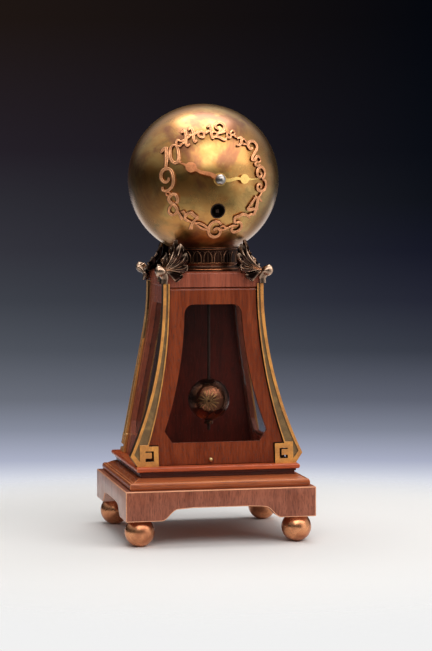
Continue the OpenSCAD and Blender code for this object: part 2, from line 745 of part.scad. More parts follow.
module gallery() {
    inner = collar_r + seat;
    pitch = 360 / gallery_leaves;
    leaf_w = 2 * 3.14159 * (inner + gallery_t) / gallery_leaves * 0.86;
    color(gilt) intersection() {
        union() {
            rotate_extrude($fn = 96) translate([inner, z_gallery]) square([gallery_t, gallery_h]);
            for (i = [0:gallery_leaves - 1])
                rotate([0, 0, i * pitch]) translate([0, -inner + 1, z_gallery]) rotate([90, 0, 0])
                    linear_extrude(6) lotus(leaf_w, gallery_h);
        }
        difference() {
            translate([0, 0, z_gallery]) cylinder(h = gallery_h, r = inner + gallery_t + 0.6, $fn = 96);
            translate([0, 0, z_gallery - 1]) cylinder(h = gallery_h + 2, r = inner, $fn = 96);
        }
    }
}

// Ball head
module shell(outer, thick) {
    difference() {
        sphere(r = outer, $fn = 128);
        sphere(r = outer - thick, $fn = 128);
    }
}

module ball_front() {
    post_at = plate_r * [[0, 0.895], [-0.87, -0.21], [0.87, -0.21]];
    color(brass) translate([0, 0, ball_z]) difference() {
        union() {
            intersection() {
                shell(ball_r, ball_t);
                translate([-big / 2, -big, -big / 2]) cube([big, big, big]);
            }
            intersection() {
                for (p = post_at) bar_y(p[0], p[1], 2, -ball_r, -plate_front_y - seat);
                sphere(r = ball_r - ball_t / 2, $fn = 128);
            }
        }
        translate([0, 0, -ball_r - 1]) cylinder(h = ball_r, r = bore_r - 0.2, $fn = 64);
        bar_y(0, 0, hour_pipe_r + 1, -big, -ball_r / 2);
        bar_y(0, -wind_drop, eyelet_r + seat, -big, -plate_front_y);
    }
}

hour_pipe_r = 3.1;
minute_pipe_r = 2;
eyelet_r = wind_hole_d / 2 + 0.8;

module ball_rear() {
    color(brass) translate([0, 0, ball_z]) difference() {
        intersection() {
            shell(ball_r, ball_t);
            translate([-big / 2, seat, -big / 2]) cube([big, big, big]);
        }
        translate([0, 0, -ball_r - 1]) cylinder(h = ball_r, r = bore_r - 0.2, $fn = 64);
        bar_y(0, 0, cap_d / 2, ball_r / 2, big);
    }
}

module rear_cap() {
    cap_r = cap_d / 2 - 0.2;
    rim_y = sqrt(pow(ball_r - ball_t, 2) - pow(cap_r, 2));
    color(brass) translate([0, 0, ball_z]) {
        intersection() {
            shell(ball_r, ball_t);
            bar_y(0, 0, cap_r, ball_r / 2, big);
        }
        difference() {
            bar_y(0, 0, cap_r, rim_y - skirt_l, rim_y + 0.5);
            bar_y(0, 0, cap_r - 0.8, rim_y - skirt_l - 1, rim_y + 2);
        }
    }
}

module winding_eyelet() {
    color(steel) translate([0, 0, ball_z]) intersection() {
        difference() {
            bar_y(0, -wind_drop, eyelet_r, -big, -ball_r * 0.84);
            bar_y(0, -wind_drop, wind_hole_d / 2, -big, 0);
        }
        sphere(r = ball_r + 0.4, $fn = 128);
    }
}

// A tapering stroke along a path, w0 wide at its start, w1 in the middle and w2 at its end
function width_at(t, w0, w1, w2) = t < 0.5 ? w0 + (w1 - w0) * t * 2 : w1 + (w2 - w1) * (t * 2 - 1);
function direction(p, i) =
    let (a = p[max(i - 1, 0)], b = p[min(i + 1, len(p) - 1)], d = [b[0] - a[0], b[1] - a[1]])
    d / norm(d);
function stroke_edge(p, w0, w1, w2, s) =
    [for (i = [0:len(p) - 1]) let (d = direction(p, i), w = width_at(i / (len(p) - 1), w0, w1, w2) / 2 * s)
        [p[i][0] - d[1] * w, p[i][1] + d[0] * w]];
module stroke(path, w0, w1, w2) {
    near = stroke_edge(path, w0, w1, w2, 1);
    far = stroke_edge(path, w0, w1, w2, -1);
    last = len(path) - 1;
    for (a = [0:6:last - 1]) {
        b = min(a + 7, last);
        polygon(concat([for (i = [a:b]) near[i]], [for (i = [b:-1:a]) far[i]]));
    }
}

// The chapter ring, stroke by stroke: the points of a middle line, in hundredths of the ring's radius
// from the ball's axis, then the stroke's width at its start, middle and end, in tenths of stroke_w
ring_strokes = [
    // Hour 12
    [[[-18, 108], [-13, 111], [-10, 114]], [4, 8, 7]],
    [[[-10, 115], [-10, 104], [-11, 93], [-10, 85], [-4, 88]], [8, 10, 4]],
    [[[7, 106], [4, 105], [0, 109], [3, 115], [12, 118], [19, 112], [18, 104], [9, 98], [2, 94]],
        [7, 9, 8]],
    [[[2, 94], [10, 96], [21, 99]], [4, 7, 4]],
    [[[2, 94], [-2, 89], [-4, 86]], [7, 6, 5]],
    [[[-4, 87], [4, 87], [12, 83], [17, 82], [22, 87]], [5, 9, 4]],
    [[[-10, 97], [-4, 98], [3, 96]], [5, 6, 5]],
    // Hour 1
    [[[44, 84], [49, 86], [55, 87]], [4, 7, 7]],
    [[[55, 87], [53, 80], [49, 72], [41, 70]], [8, 9, 5]],
    [[[51, 76], [57, 73], [62, 73], [68, 70]], [5, 7, 5]],
    [[[55, 82], [61, 83], [64, 78], [69, 76]], [4, 6, 5]],
    // Hour 2
    [[[78, 66], [74, 63], [69, 65], [68, 72], [73, 78], [82, 79], [89, 72], [88, 63], [81, 54],
        [75, 46], [74, 39]], [7, 10, 8]],
    [[[74, 40], [81, 41], [86, 47], [92, 47], [96, 40]], [7, 9, 4]],
    [[[96, 40], [91, 36], [84, 36], [81, 31], [86, 28], [93, 30], [95, 25]], [4, 7, 5]],
    // Hour 3
    [[[94, 15], [96, 10], [93, 5], [87, 7], [85, 15], [89, 23], [97, 26], [104, 19], [104, 9],
        [98, 1]], [7, 9, 7]],
    [[[98, 1], [105, -2], [108, -11], [104, -21], [95, -24], [87, -21], [86, -13], [91, -9],
        [95, -13], [94, -18]], [7, 10, 6]],
    [[[98, -24], [95, -30], [90, -36]], [5, 6, 5]],
    // Hour 4
    [[[84, -34], [76, -46], [64, -62]], [8, 8, 7]],
    [[[64, -62], [73, -62], [81, -61], [92, -61]], [7, 10, 5]],
    [[[87, -35], [88, -47], [86, -60], [83, -73]], [9, 13, 10]],
    [[[83, -73], [76, -72], [70, -74], [65, -74]], [8, 8, 5]],
    [[[94, -31], [91, -37], [96, -43], [100, -46]], [6, 7, 4]],
    // Hour 5
    [[[37, -78], [46, -76], [55, -72], [65, -74], [74, -80]], [8, 10, 6]],
    [[[38, -78], [38, -84], [39, -90]], [8, 8, 8]],
    [[[39, -90], [48, -88], [55, -92], [56, -101], [49, -107], [40, -109], [34, -104], [37, -99]],
        [6, 10, 8]],
    [[[7, -99], [15, -96], [22, -101], [30, -98], [38, -95], [48, -96]], [5, 7, 5]],
    [[[10, -102], [17, -104], [22, -101], [18, -97]], [4, 6, 4]],
    // Hour 6
    [[[10, -93], [4, -88], [-5, -87], [-13, -93], [-15, -103], [-12, -113], [-2, -119], [7, -117],
        [11, -109], [6, -102], [-1, -101], [-4, -105]], [7, 10, 7]],
    [[[-47, -89], [-37, -90], [-27, -94], [-15, -102]], [5, 8, 6]],
    [[[-45, -91], [-36, -97], [-27, -102], [-15, -104]], [4, 7, 5]],
    // Hour 7
    [[[-65, -79], [-62, -71], [-54, -69], [-48, -74], [-40, -78]], [5, 11, 8]],
    [[[-40, -78], [-46, -84], [-50, -92], [-51, -103]], [8, 9, 12]],
    [[[-81, -64], [-76, -72], [-70, -82]], [6, 7, 8]],
    [[[-75, -67], [-69, -66], [-66, -73], [-65, -80], [-59, -85], [-49, -88]], [5, 8, 5]],
    // Hour 8
    [[[-84, -49], [-82, -41], [-87, -31], [-94, -31], [-99, -39], [-95, -47], [-87, -53],
        [-82, -61], [-83, -69]], [9, 9, 8]],
    [[[-83, -69], [-89, -73], [-96, -68], [-96, -58], [-92, -51], [-89, -46]], [8, 8, 6]],
    [[[-100, -34], [-104, -30], [-103, -26], [-98, -26], [-97, -30], [-99, -34]], [5, 5, 5]],
    // Hour 9
    [[[-99, 4], [-101, -3], [-107, -6], [-113, 1], [-113, 12], [-107, 21], [-98, 21], [-93, 11],
        [-91, -4], [-94, -15], [-102, -23], [-110, -22], [-111, -15]], [7, 10, 7]],
    [[[-105, 22], [-104, 25], [-105, 28]], [6, 6, 6]],
    // Hour 10
    [[[-112, 54], [-107, 61], [-101, 66]], [4, 8, 8]],
    [[[-101, 67], [-102, 53], [-103, 39], [-105, 22]], [8, 11, 8]],
    [[[-84, 71], [-89, 70], [-94, 63], [-96, 49], [-93, 38], [-87, 34], [-81, 39], [-80, 52],
        [-81, 65], [-85, 72]], [5, 11, 7]],
    [[[-84, 36], [-79, 35], [-75, 38]], [6, 6, 4]],
    // Hour 11
    [[[-71, 96], [-66, 99], [-63, 103]], [4, 8, 7]],
    [[[-63, 103], [-62, 90], [-64, 79], [-63, 69], [-56, 73]], [8, 10, 4]],
    [[[-56, 101], [-53, 105], [-49, 107]], [4, 8, 7]],
    [[[-49, 107], [-47, 96], [-48, 86], [-47, 77], [-41, 81]], [8, 10, 4]],
    [[[-63, 85], [-57, 87], [-54, 91], [-48, 91]], [5, 7, 5]],
    [[[-73, 78], [-68, 80], [-63, 82]], [4, 7, 5]],
    // Ten to eleven
    [[[-81, 67], [-82, 76], [-78, 81], [-73, 78]], [5, 7, 5]],
    [[[-80, 69], [-76, 68], [-73, 72], [-68, 75], [-64, 76]], [5, 6, 5]],
    // Eleven to twelve
    [[[-48, 92], [-42, 95], [-38, 98], [-34, 97]], [5, 7, 5]],
    [[[-36, 97], [-38, 91], [-34, 87], [-28, 87], [-26, 93], [-29, 98], [-35, 98]], [6, 7, 6]],
    [[[-27, 97], [-22, 96], [-17, 99], [-11, 100]], [5, 7, 5]],
    // Twelve to one
    [[[20, 101], [23, 96], [22, 90], [26, 86], [30, 88], [30, 94], [26, 96]], [5, 7, 5]],
    [[[30, 91], [36, 92], [40, 89], [46, 86]], [5, 7, 5]],
    [[[30, 94], [33, 99], [38, 101], [40, 96], [37, 92]], [4, 6, 4]]
];

module ring_outline() {
    offset(delta = 0.01)
        for (s = ring_strokes)
            stroke(bend(s[0] * ring_r / 100, 4), s[1][0] * stroke_w / 10, s[1][1] * stroke_w / 10,
                s[1][2] * stroke_w / 10);
}

module chapter_ring() {
    color(copper) translate([0, 0, ball_z]) intersection() {
        along_y(-ball_r - 4, -ball_r * 0.55) ring_outline();
        shell(ball_r + seat + ring_t, ring_t);
    }
}

// A hand's outline lies along +y: a waved stem, a round leaf and a fine tip
module hand_outline(l, leaf_at, leaf_r, stem_w) {
    stroke([[0, 2.4], [0.9, leaf_at * 0.35], [-0.7, leaf_at * 0.68], [0, leaf_at - leaf_r * 0.5]],
        stem_w, stem_w * 0.75, stem_w * 0.6);
    translate([0, leaf_at]) circle(r = leaf_r, $fn = 32);
    stroke([[0, leaf_at + leaf_r * 0.7], [0.3, leaf_at + leaf_r * 1.5], [0, l]], 2.6, 1.2, 0.4);
}

module hand(rise, angle, l, leaf_at, leaf_r, stem_w, hub_r, bore) {
    outer = ball_r + rise + hand_t;
    translate([0, 0, ball_z]) difference() {
        union() {
            intersection() {
                rotate([0, angle, 0]) along_y(-outer - 1, -ball_r * 0.7)
                    offset(delta = 0.01) hand_outline(l, leaf_at, leaf_r, stem_w);
                shell(outer, hand_t);
            }
            bar_y(0, 0, hub_r, -outer, -outer + hand_t + 0.4);
        }
        bar_y(0, 0, bore, -big, 0);
    }
}

module hour_hand() {
    color("#c9a24a") hand(hour_rise, hour_angle, hour_l, hour_l * 0.62, 3.7, 3.2, 5, hour_pipe_r - 0.45);
}

module minute_hand() {
    color(copper) hand(minute_rise, minute_angle, minute_l, minute_l * 0.71, 4, 3.6, 3.6, minute_pipe_r - 0.4);
}

module hand_nut() {
    rise = 3.6;
    width = 4.2;
    cap_r = (rise * rise + width * width) / (2 * rise);
    color(steel) translate([0, 0, ball_z]) difference() {
        intersection() {
            translate([0, -hub_front - rise + cap_r, 0]) sphere(r = cap_r, $fn = 48);
            bar_y(0, 0, width + 1, -hub_front - rise - 1, -hub_front - seat);
        }
        bar_y(0, 0, arbor_r + seat, -hub_front - 1.6, 0);
    }
}

// Wheels: n teeth on a pitch circle of radius r, standing along y
module tooth_ring(n, r, fill) {
    m = 2 * r / n;
    root = r - 1.2 * m;
    tip = r + 0.85 * m;
    step = 360 / n;
    polygon([for (i = [0:n - 1]) for (p = [[-fill * 0.62, root], [-fill * 0.5, r], [-fill * 0.2, tip],
        [fill * 0.2, tip], [fill * 0.5, r], [fill * 0.62, root]])
        let (a = (i + p[0]) * step) [p[1] * sin(a), p[1] * cos(a)]]);
}

module wheel(n, r, y0, y1, turn, spokes) {
    rim = r - 1.2 * 2 * r / n - 1.4;
    rotate([0, turn, 0]) along_y(y0, y1) difference() {
        tooth_ring(n, r, 0.4);
        if (spokes > 0)
            for (i = [0:spokes - 1])
                rotate(360 / spokes * (i + 0.5)) translate([0, (rim + 2.6) / 2])
                    scale([0.8, 1]) circle(r = (rim - 2.6) / 2, $fn = 24);
    }
}

// The arbors turn in holes through the plates
module plate_holes() {
    bar_y(0, 0, arbor_r + run_gap, -big, 0);
    bar_y(0, -wind_drop, wind_arbor_r + run_gap, -big, 0);
    bar_y(third_x, third_z, arbor_r * 0.8 + run_gap, -big, 0);
    bar_y(0, escape_z, arbor_r * 0.8 + run_gap, -big, 0);
    bar_y(0, anchor_z, arbor_r * 0.8 + run_gap, -big, 0);
}

wind_arbor_r = 2;
pillar_at = plate_r * [[0.74, 0.37], [-0.74, 0.37], [0.68, -0.58], [-0.68, -0.58]];
minute_wheel_x = motion_centres * sin(motion_angle);
minute_wheel_z = -motion_centres * cos(motion_angle);

module plate_front() {
    color(brass) translate([0, 0, ball_z]) difference() {
        union() {
            bar_y(0, 0, plate_r, -plate_front_y, -plate_front_y + movement_plate_t);
            bar_y(minute_wheel_x, minute_wheel_z, arbor_r, -plate_front_y - 7.6, -plate_front_y + 0.5);
        }
        plate_holes();
    }
}

module plate_back() {
    color(brass) translate([0, 0, ball_z]) difference() {
        bar_y(0, 0, plate_r, -plate_back_y, -plate_back_y + movement_plate_t);
        plate_holes();
    }
}

module pillars() {
    color(brass) translate([0, 0, ball_z])
        for (p = pillar_at)
            bar_y(p[0], p[1], 2.5, -plate_front_y + movement_plate_t, -plate_back_y);
}

// Barrel: a drum round the winding arbor, with the great wheel at its rear end
barrel_r = 13;
module barrel() {
    rear = -plate_back_y - 0.6;
    color(brass) translate([0, 0, ball_z]) difference() {
        union() {
            translate([0, 0, -wind_drop])
                wheel(great_teeth, great_module * great_teeth / 2, rear - 1.5, rear, 0, 0);
            bar_y(0, -wind_drop, barrel_r, rear - 10, rear - 1.4);
        }
        bar_y(0, -wind_drop, barrel_r - 1, rear - 9, rear - 2.4);
        bar_y(0, -wind_drop, wind_arbor_r + run_gap, -big, 0);
    }
}

// Winding arbor: a square end behind the dial's hole, the ratchet wheel and the arbor
module winding_arbor() {
    square_w = 2.6;
    front = -plate_front_y - 9.4;
    color(steel) translate([0, 0, ball_z]) {
        translate([0, 0, -wind_drop]) {
            translate([-square_w / 2, front, -square_w / 2]) cube([square_w, 8, square_w]);
            along_y(-plate_front_y - 1.8, -plate_front_y - 0.3)
                polygon([for (i = [0:17]) for (p = [[0, 6.6], [0.1, 7.8]]) let (a = (i + p[0]) * 20)
                    [p[1] * sin(a), p[1] * cos(a)]]);
        }
        bar_y(0, -wind_drop, wind_arbor_r, -plate_front_y - 1.5, -plate_back_y + movement_plate_t + 1);
    }
}

// Centre arbor with its pinion and wheel; it carries the hands through the cannon pinion
module centre_arbor() {
    rear = -plate_back_y - end_play;
    color(brass) translate([0, 0, ball_z]) {
        bar_y(0, 0, arbor_r, -hub_front - 1.4, -plate_back_y + movement_plate_t + 0.8);
        wheel(centre_leaves, great_module * centre_leaves / 2, rear - 2, rear, 180 / centre_leaves, 0);
        wheel(centre_teeth, train_module * centre_teeth / 2, rear - centre_wheel_at,
            rear - centre_wheel_at + wheel_t, centre_turn, 5);
    }
}

// The wheels are set tooth to gap along the line between their arbors
third_turn = atan2(third_x, third_z);
centre_turn = third_turn;

module third_wheel() {
    rear = -plate_back_y - end_play;
    teeth = 60;
    wheel_r = 10.2;
    opposite = 180;
    pinion_front = rear - centre_wheel_at - 0.2;
    pinion_l = wheel_t + 1.4;
    color(brass) translate([third_x, 0, ball_z + third_z]) {
        bar_y(0, 0, arbor_r * 0.8, -plate_front_y + 0.2, -plate_back_y + movement_plate_t - 0.2);
        wheel(third_leaves, train_module * third_leaves / 2, pinion_front, pinion_front + pinion_l,
            third_turn + opposite + opposite / third_leaves, 0);
        wheel(teeth, wheel_r, rear - third_wheel_at, rear - third_wheel_at + wheel_t, 0, 5);
    }
}

module escape_wheel() {
    rear = -plate_back_y - end_play;
    color(brass) translate([0, 0, ball_z + escape_z]) {
        bar_y(0, 0, arbor_r * 0.8, -plate_front_y + 0.2, -plate_back_y + movement_plate_t - 0.2);
        along_y(rear - 2.2, rear - 1.2) difference() {
            polygon([for (i = [0:escape_teeth - 1]) for (p = [[0, escape_r - 2], [0.5, escape_r], [0.62, escape_r]])
                let (a = (i + p[0]) * 360 / escape_teeth) [p[1] * sin(a), p[1] * cos(a)]]);
            for (i = [0:3])
                rotate(90 * i + 45) translate([0, 4]) circle(r = 1.7, $fn = 24);
        }
    }
}

// Anchor with its pallets clear above the escape wheel, and the crutch behind the back plate
module anchor() {
    rear = -plate_back_y - end_play;
    drop = anchor_z - escape_z;
    crutch_front = -plate_back_y + movement_plate_t + 0.4;
    crutch_l = 24;
    fork_z = anchor_z - crutch_l;
    reach = escape_r + 0.9;
    color(steel) translate([0, 0, ball_z]) {
        bar_y(0, anchor_z, arbor_r * 0.8, -plate_front_y + 0.2, crutch_front + 1);
        along_y(rear - 2.3, rear - 1.1) {
            for (s = [-1, 1]) {
                stroke([[0, anchor_z], [s * reach * 0.55, anchor_z - 1.2], [s * reach * 0.86, escape_z + reach * 0.75]],
                    2.4, 1.8, 1.2);
            }
            translate([0, anchor_z]) circle(r = 1.8, $fn = 24);
        }
        along_y(crutch_front, crutch_front + 1) {
            stroke([[0, anchor_z + 1.4], [0, anchor_z - 10], [0, fork_z + 5], [0, fork_z + 3]], 2, 1.6, 1.6);
            translate([-3.4, fork_z + 1.6]) square([6.8, 1.6]);
        }
        for (s = [-1, 1])
            translate([s * (rod_d / 2 + 0.35 + 0.6) - 0.6, crutch_front, fork_z])
                cube([1.2, -pendulum_y + rod_d / 2 + 0.8 - crutch_front, 2]);
    }
}

// Suspension cock: a foot on the back plate and an arm that holds the spring's upper end
spring_w = 4;
spring_l = 9;
module suspension_cock() {
    foot_y0 = -plate_back_y + movement_plate_t;
    color(brass) translate([0, 0, ball_z]) difference() {
        union() {
            along_y(foot_y0, foot_y0 + 1.6) translate([-5, anchor_z + 2.4]) intersection() {
                square([10, 8]);
                translate([5, -anchor_z - 2.4]) circle(r = plate_r + 3, $fn = 64);
            }
            translate([-3, foot_y0 + 1.2, anchor_z + 2.4])
                cube([6, -pendulum_y + spring_w / 2 + 1.4 - foot_y0 - 1.2, 5.6]);
        }
        translate([-0.6, -pendulum_y - spring_w / 2 - 0.3, 0]) cube([1.2, spring_w + 0.6, anchor_z + 5.4]);
    }
}

module suspension_spring() {
    top = pivot_z + 5.1;
    color(steel) translate([0, -pendulum_y, 0]) {
        translate([-0.15, -spring_w / 2, pivot_z - spring_l + 1]) cube([0.3, spring_w, top - pivot_z + spring_l - 1]);
        translate([-1.6, -spring_w / 2, pivot_z - spring_l - 2]) cube([3.2, spring_w, 3]);
    }
}

module pendulum_rod() {
    top = pivot_z - spring_l - 2;
    thread_low = bob_z - bob_d / 2 - 8;
    color(steel) translate([0, -pendulum_y, thread_low]) cylinder(h = top - thread_low, d = rod_d, $fn = 32);
}

// Ball bob with a turned recess for its engraved flower
module bob() {
    color(copper) translate([0, -pendulum_y, bob_z]) difference() {
        sphere(d = bob_d, $fn = 64);
        cylinder(h = bob_d + 2, d = rod_d + 2 * seat, center = true, $fn = 32);
        translate([0, 0, -bob_d / 2]) cylinder(h = 2, r = 3, center = true, $fn = 32);
        rotate([0, 0, -bob_turn]) translate([0, -bob_d / 2 + 2.4, 0]) rotate([90, 0, 0])
            rotate_extrude($fn = 64) translate([bob_d * 0.27, 0]) square([0.5, 8]);
    }
}

module rating_nut() {
    h = 3;
    color(brass) translate([0, -pendulum_y, bob_z - bob_d / 2 - h - 0.2]) difference() {
        cylinder(h = h, d = nut_d, $fn = 48);
        translate([0, 0, -1]) cylinder(h = h + 2, d = rod_d + 2 * run_gap, $fn = 32);
    }
}

// The motion work between the front plate and the ball
motion_front = -plate_front_y - 0.5;
module cannon_pinion() {
    r = motion_centres * cannon_teeth / (cannon_teeth + minute_teeth);
    color(steel) translate([0, 0, ball_z]) difference() {
        union() {
            wheel(cannon_teeth, r, motion_front - 2.6, motion_front, motion_cannon_turn, 0);
            bar_y(0, 0, minute_pipe_r - 0.45, -hub_front, motion_front - 2);
        }
        bar_y(0, 0, arbor_r + 0.02, -big, 0);
    }
}
motion_line = 90 + (90 - motion_angle);
motion_cannon_turn = motion_line;

module minute_wheel() {
    r = motion_centres * minute_teeth / (cannon_teeth + minute_teeth);
    leaf_r = motion_centres * minute_leaves / (minute_leaves + hour_teeth);
    back_line = motion_line + 180;
    color(brass) translate([minute_wheel_x, 0, ball_z + minute_wheel_z]) difference() {
        union() {
            wheel(minute_teeth, r, motion_front - 2, motion_front - 0.6, back_line + 180 / minute_teeth, 0);
            wheel(minute_leaves, leaf_r, motion_front - 5.4, motion_front - 1.8,
                back_line + 180 / minute_leaves, 0);
        }
        bar_y(0, 0, arbor_r + run_gap, -big, 0);
    }
}

module hour_wheel() {
    r = motion_centres * hour_teeth / (minute_leaves + hour_teeth);
    color(brass) translate([0, 0, ball_z]) difference() {
        union() {
            wheel(hour_teeth, r, motion_front - 4.8, motion_front - 3.4, motion_line, 0);
            bar_y(0, 0, hour_pipe_r - 0.5, -ball_r - hour_rise - hand_t, motion_front - 4);
        }
        bar_y(0, 0, minute_pipe_r - 0.45 + run_gap, -big, 0);
    }
}

foot(-foot_x, -foot_y);  // foot_fl
foot(foot_x, -foot_y);  // foot_fr
foot(-foot_x, foot_y);  // foot_bl
foot(foot_x, foot_y);  // foot_br
apron();
base_bead();
base_neck();
base_plate();
side_board();  // side_left
mirror([1, 0, 0]) side_board();  // side_right
back_board();
head_block();
front_frame();
frame_pins();
frame_pull();
front_glass();
side_glass();  // left_glass
mirror([1, 0, 0]) side_glass();  // right_glass
mount_front();  // mount_fr
mirror([1, 0, 0]) mount_front();  // mount_fl
mount_rear();  // mount_br
mirror([1, 0, 0]) mount_rear();  // mount_bl
leaf();  // leaf_fr
mirror([1, 0, 0]) leaf();  // leaf_fl
mirror([0, 1, 0]) leaf();  // leaf_br
mirror([1, 0, 0]) mirror([0, 1, 0]) leaf();  // leaf_bl
collar();
gallery();
ball_front();
ball_rear();
rear_cap();
chapter_ring();
winding_eyelet();
hour_hand();
minute_hand();
hand_nut();
plate_front();
plate_back();
pillars();
barrel();
winding_arbor();
centre_arbor();
cannon_pinion();
minute_wheel();
hour_wheel();
third_wheel();
escape_wheel();
anchor();
suspension_cock();
suspension_spring();
pendulum_rod();
bob();
rating_nut();
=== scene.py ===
import math

import bmesh
import bpy
import numpy as np
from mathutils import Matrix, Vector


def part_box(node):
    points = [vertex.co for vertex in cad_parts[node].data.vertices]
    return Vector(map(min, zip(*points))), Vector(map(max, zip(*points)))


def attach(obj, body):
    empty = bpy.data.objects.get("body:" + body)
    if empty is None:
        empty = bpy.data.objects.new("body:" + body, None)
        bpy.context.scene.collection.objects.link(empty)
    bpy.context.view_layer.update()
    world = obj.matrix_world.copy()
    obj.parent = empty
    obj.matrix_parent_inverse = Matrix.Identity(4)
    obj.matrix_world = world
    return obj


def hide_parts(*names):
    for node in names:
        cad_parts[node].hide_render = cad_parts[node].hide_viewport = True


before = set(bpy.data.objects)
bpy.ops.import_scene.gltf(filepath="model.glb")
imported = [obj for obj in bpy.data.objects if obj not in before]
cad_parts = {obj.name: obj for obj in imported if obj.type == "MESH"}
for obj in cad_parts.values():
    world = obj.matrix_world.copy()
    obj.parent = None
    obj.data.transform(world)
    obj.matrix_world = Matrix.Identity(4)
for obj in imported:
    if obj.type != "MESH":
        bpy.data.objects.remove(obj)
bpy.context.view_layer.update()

# Ball feet: four turned copper balls, each with a wood screw through its neck into the apron's corner.
# They are copper with soft blotches of tarnish, and each is cut flat where it stands.


def add_node(tree, kind, links=None, **settings):
    """One shader node; links gives a value or another node's output for each named input."""
    made = tree.nodes.new(kind)
    for key, value in settings.items():
        setattr(made, key, value)
    for key, value in (links or {}).items():
        if isinstance(value, bpy.types.NodeSocket):
            tree.links.new(value, made.inputs[key])
        else:
            made.inputs[key].default_value = value
    return made


def noise(tree, place, per_metre, detail, rough=0.5, warp=0.0):
    """Cloudy noise round 0.5, with about that many clouds in a metre."""
    made = add_node(tree, "ShaderNodeTexNoise", {
        "Vector": place, "Scale": per_metre, "Detail": detail, "Roughness": rough, "Distortion": warp})
    return made.outputs["Fac"]


def ramp(tree, value, low, high, start=0.0, end=1.0, soft=True):
    """Goes from start to end while the value goes from low to high; where soft, it eases in and out."""
    return add_node(tree, "ShaderNodeMapRange", {
        "Value": value, "From Min": low, "From Max": high, "To Min": start, "To Max": end},
        interpolation_type="SMOOTHSTEP" if soft else "LINEAR").outputs[0]


def mix(tree, share, first, second, kind="RGBA"):
    """The first value where the share is 0, the second where it is 1."""
    made = add_node(tree, "ShaderNodeMix", {"Factor": share, "A": first, "B": second}, data_type=kind)
    return made.outputs["Result"]


def maths(tree, operation, *values, clamp=False):
    """One sum on numbers, such as ADD, or MULTIPLY_ADD for the first times the second plus the third."""
    made = add_node(tree, "ShaderNodeMath", dict(enumerate(values)), operation=operation, use_clamp=clamp)
    return made.outputs[0]


def shader_group(name, inputs, outputs):
    """An empty shader node group with named sockets; returns the tree, its inputs and its outputs."""
    tree = bpy.data.node_groups.new(name, "ShaderNodeTree")
    for label, kind, value in inputs:
        tree.interface.new_socket(name=label, in_out="INPUT", socket_type=kind).default_value = value
    for label, kind in outputs:
        tree.interface.new_socket(name=label, in_out="OUTPUT", socket_type=kind)
    return tree, tree.nodes.new("NodeGroupInput").outputs, tree.nodes.new("NodeGroupOutput").inputs


def new_material(name, **plain):
    """A new material with those plain values; returns it, its node tree and its Principled shader."""
    made = bpy.data.materials.new(name)
    made.use_nodes = True
    shader = made.node_tree.nodes["Principled BSDF"]
    for key, value in plain.items():
        shader.inputs[key.replace("_", " ")].default_value = value
    return made, made.node_tree, shader


def material_of(name, group, values, bump=None, stretch=None, wear_and_highlight=False, **plain):
    """A Principled material that takes colour, roughness and height from a group, in Object coordinates.

    Bump is a strength and a depth in metres. Stretch scales the coordinates, for a grain. With the flag set,
    the piece's own attribute says where it is bright: rubbed wear, and on some pieces a painted highlight.
    """
    made, tree, shader = new_material(name, **plain)
    place = add_node(tree, "ShaderNodeTexCoord").outputs["Object"]
    if stretch:
        place = add_node(tree, "ShaderNodeMapping", {"Vector": place, "Scale": stretch}).outputs["Vector"]
    if wear_and_highlight:
        values = {**values, "Wear And Highlight": add_node(tree, "ShaderNodeAttribute", attribute_name="wear_and_highlight").outputs["Fac"]}
    used = add_node(tree, "ShaderNodeGroup", {"Place": place, **values}, node_tree=group)
    tree.links.new(used.outputs["Colour"], shader.inputs["Base Color"])
    tree.links.new(used.outputs["Roughness"], shader.inputs["Roughness"])
    if bump:
        raised = add_node(tree, "ShaderNodeBump", {
            "Strength": bump[0], "Distance": bump[1], "Height": used.outputs["Height"]})
        tree.links.new(raised.outputs["Normal"], shader.inputs["Normal"])
    return made


def patina_group():
    """Old metal: soft blotches of tarnish over the clean colour, fine specks, and roughness to match."""
    colour, number = "NodeSocketColor", "NodeSocketFloat"
    tree, given, out = shader_group("old metal", [
        ("Place", "NodeSocketVector", (0, 0, 0)), ("Clean", colour, (0.8, 0.5, 0.3, 1)),
        ("Tarnish", colour, (0.3, 0.2, 0.1, 1)), ("Blotch Size", number, 40.0), ("Cover", number, 0.5),
        ("Gloss", number, 0.3), ("Dull", number, 0.5), ("Rubbed And Highlight", colour, (0.9, 0.6, 0.3, 1)),
        ("Wear And Highlight", number, 0.0)], [("Colour", colour), ("Roughness", number), ("Height", number)])
    wide = noise(tree, given["Place"], given["Blotch Size"], 6.0, 0.6, 0.4)
    fine = noise(tree, given["Place"], 900.0, 3.0, 0.6)
    blotch_from = maths(tree, "SUBTRACT", 0.75, given["Cover"])
    blotch = ramp(tree, wide, blotch_from, maths(tree, "ADD", blotch_from, 0.3))
    speck = ramp(tree, fine, 0.3, 0.75, 0.88, 1.08, soft=False)
    unblotched = maths(tree, "MULTIPLY_ADD", blotch, -0.35, 1.0)
    # Where the attribute's mask is high the bright colour comes in: rubbed wear, and on some pieces a painted
    # highlight.
    worn_and_lit = maths(tree, "MULTIPLY", given["Wear And Highlight"], unblotched, clamp=True)
    metal = mix(tree, worn_and_lit, mix(tree, blotch, given["Clean"], given["Tarnish"]), given["Rubbed And Highlight"])
    specked = add_node(tree, "ShaderNodeVectorMath", {0: metal, 1: speck}, operation="MULTIPLY")
    unworn_rough = mix(tree, blotch, given["Gloss"], given["Dull"], "FLOAT")
    tree.links.new(specked.outputs[0], out["Colour"])
    tree.links.new(mix(tree, worn_and_lit, unworn_rough, given["Gloss"], "FLOAT"), out["Roughness"])
    tree.links.new(fine, out["Height"])
    return tree


old_metal = patina_group()


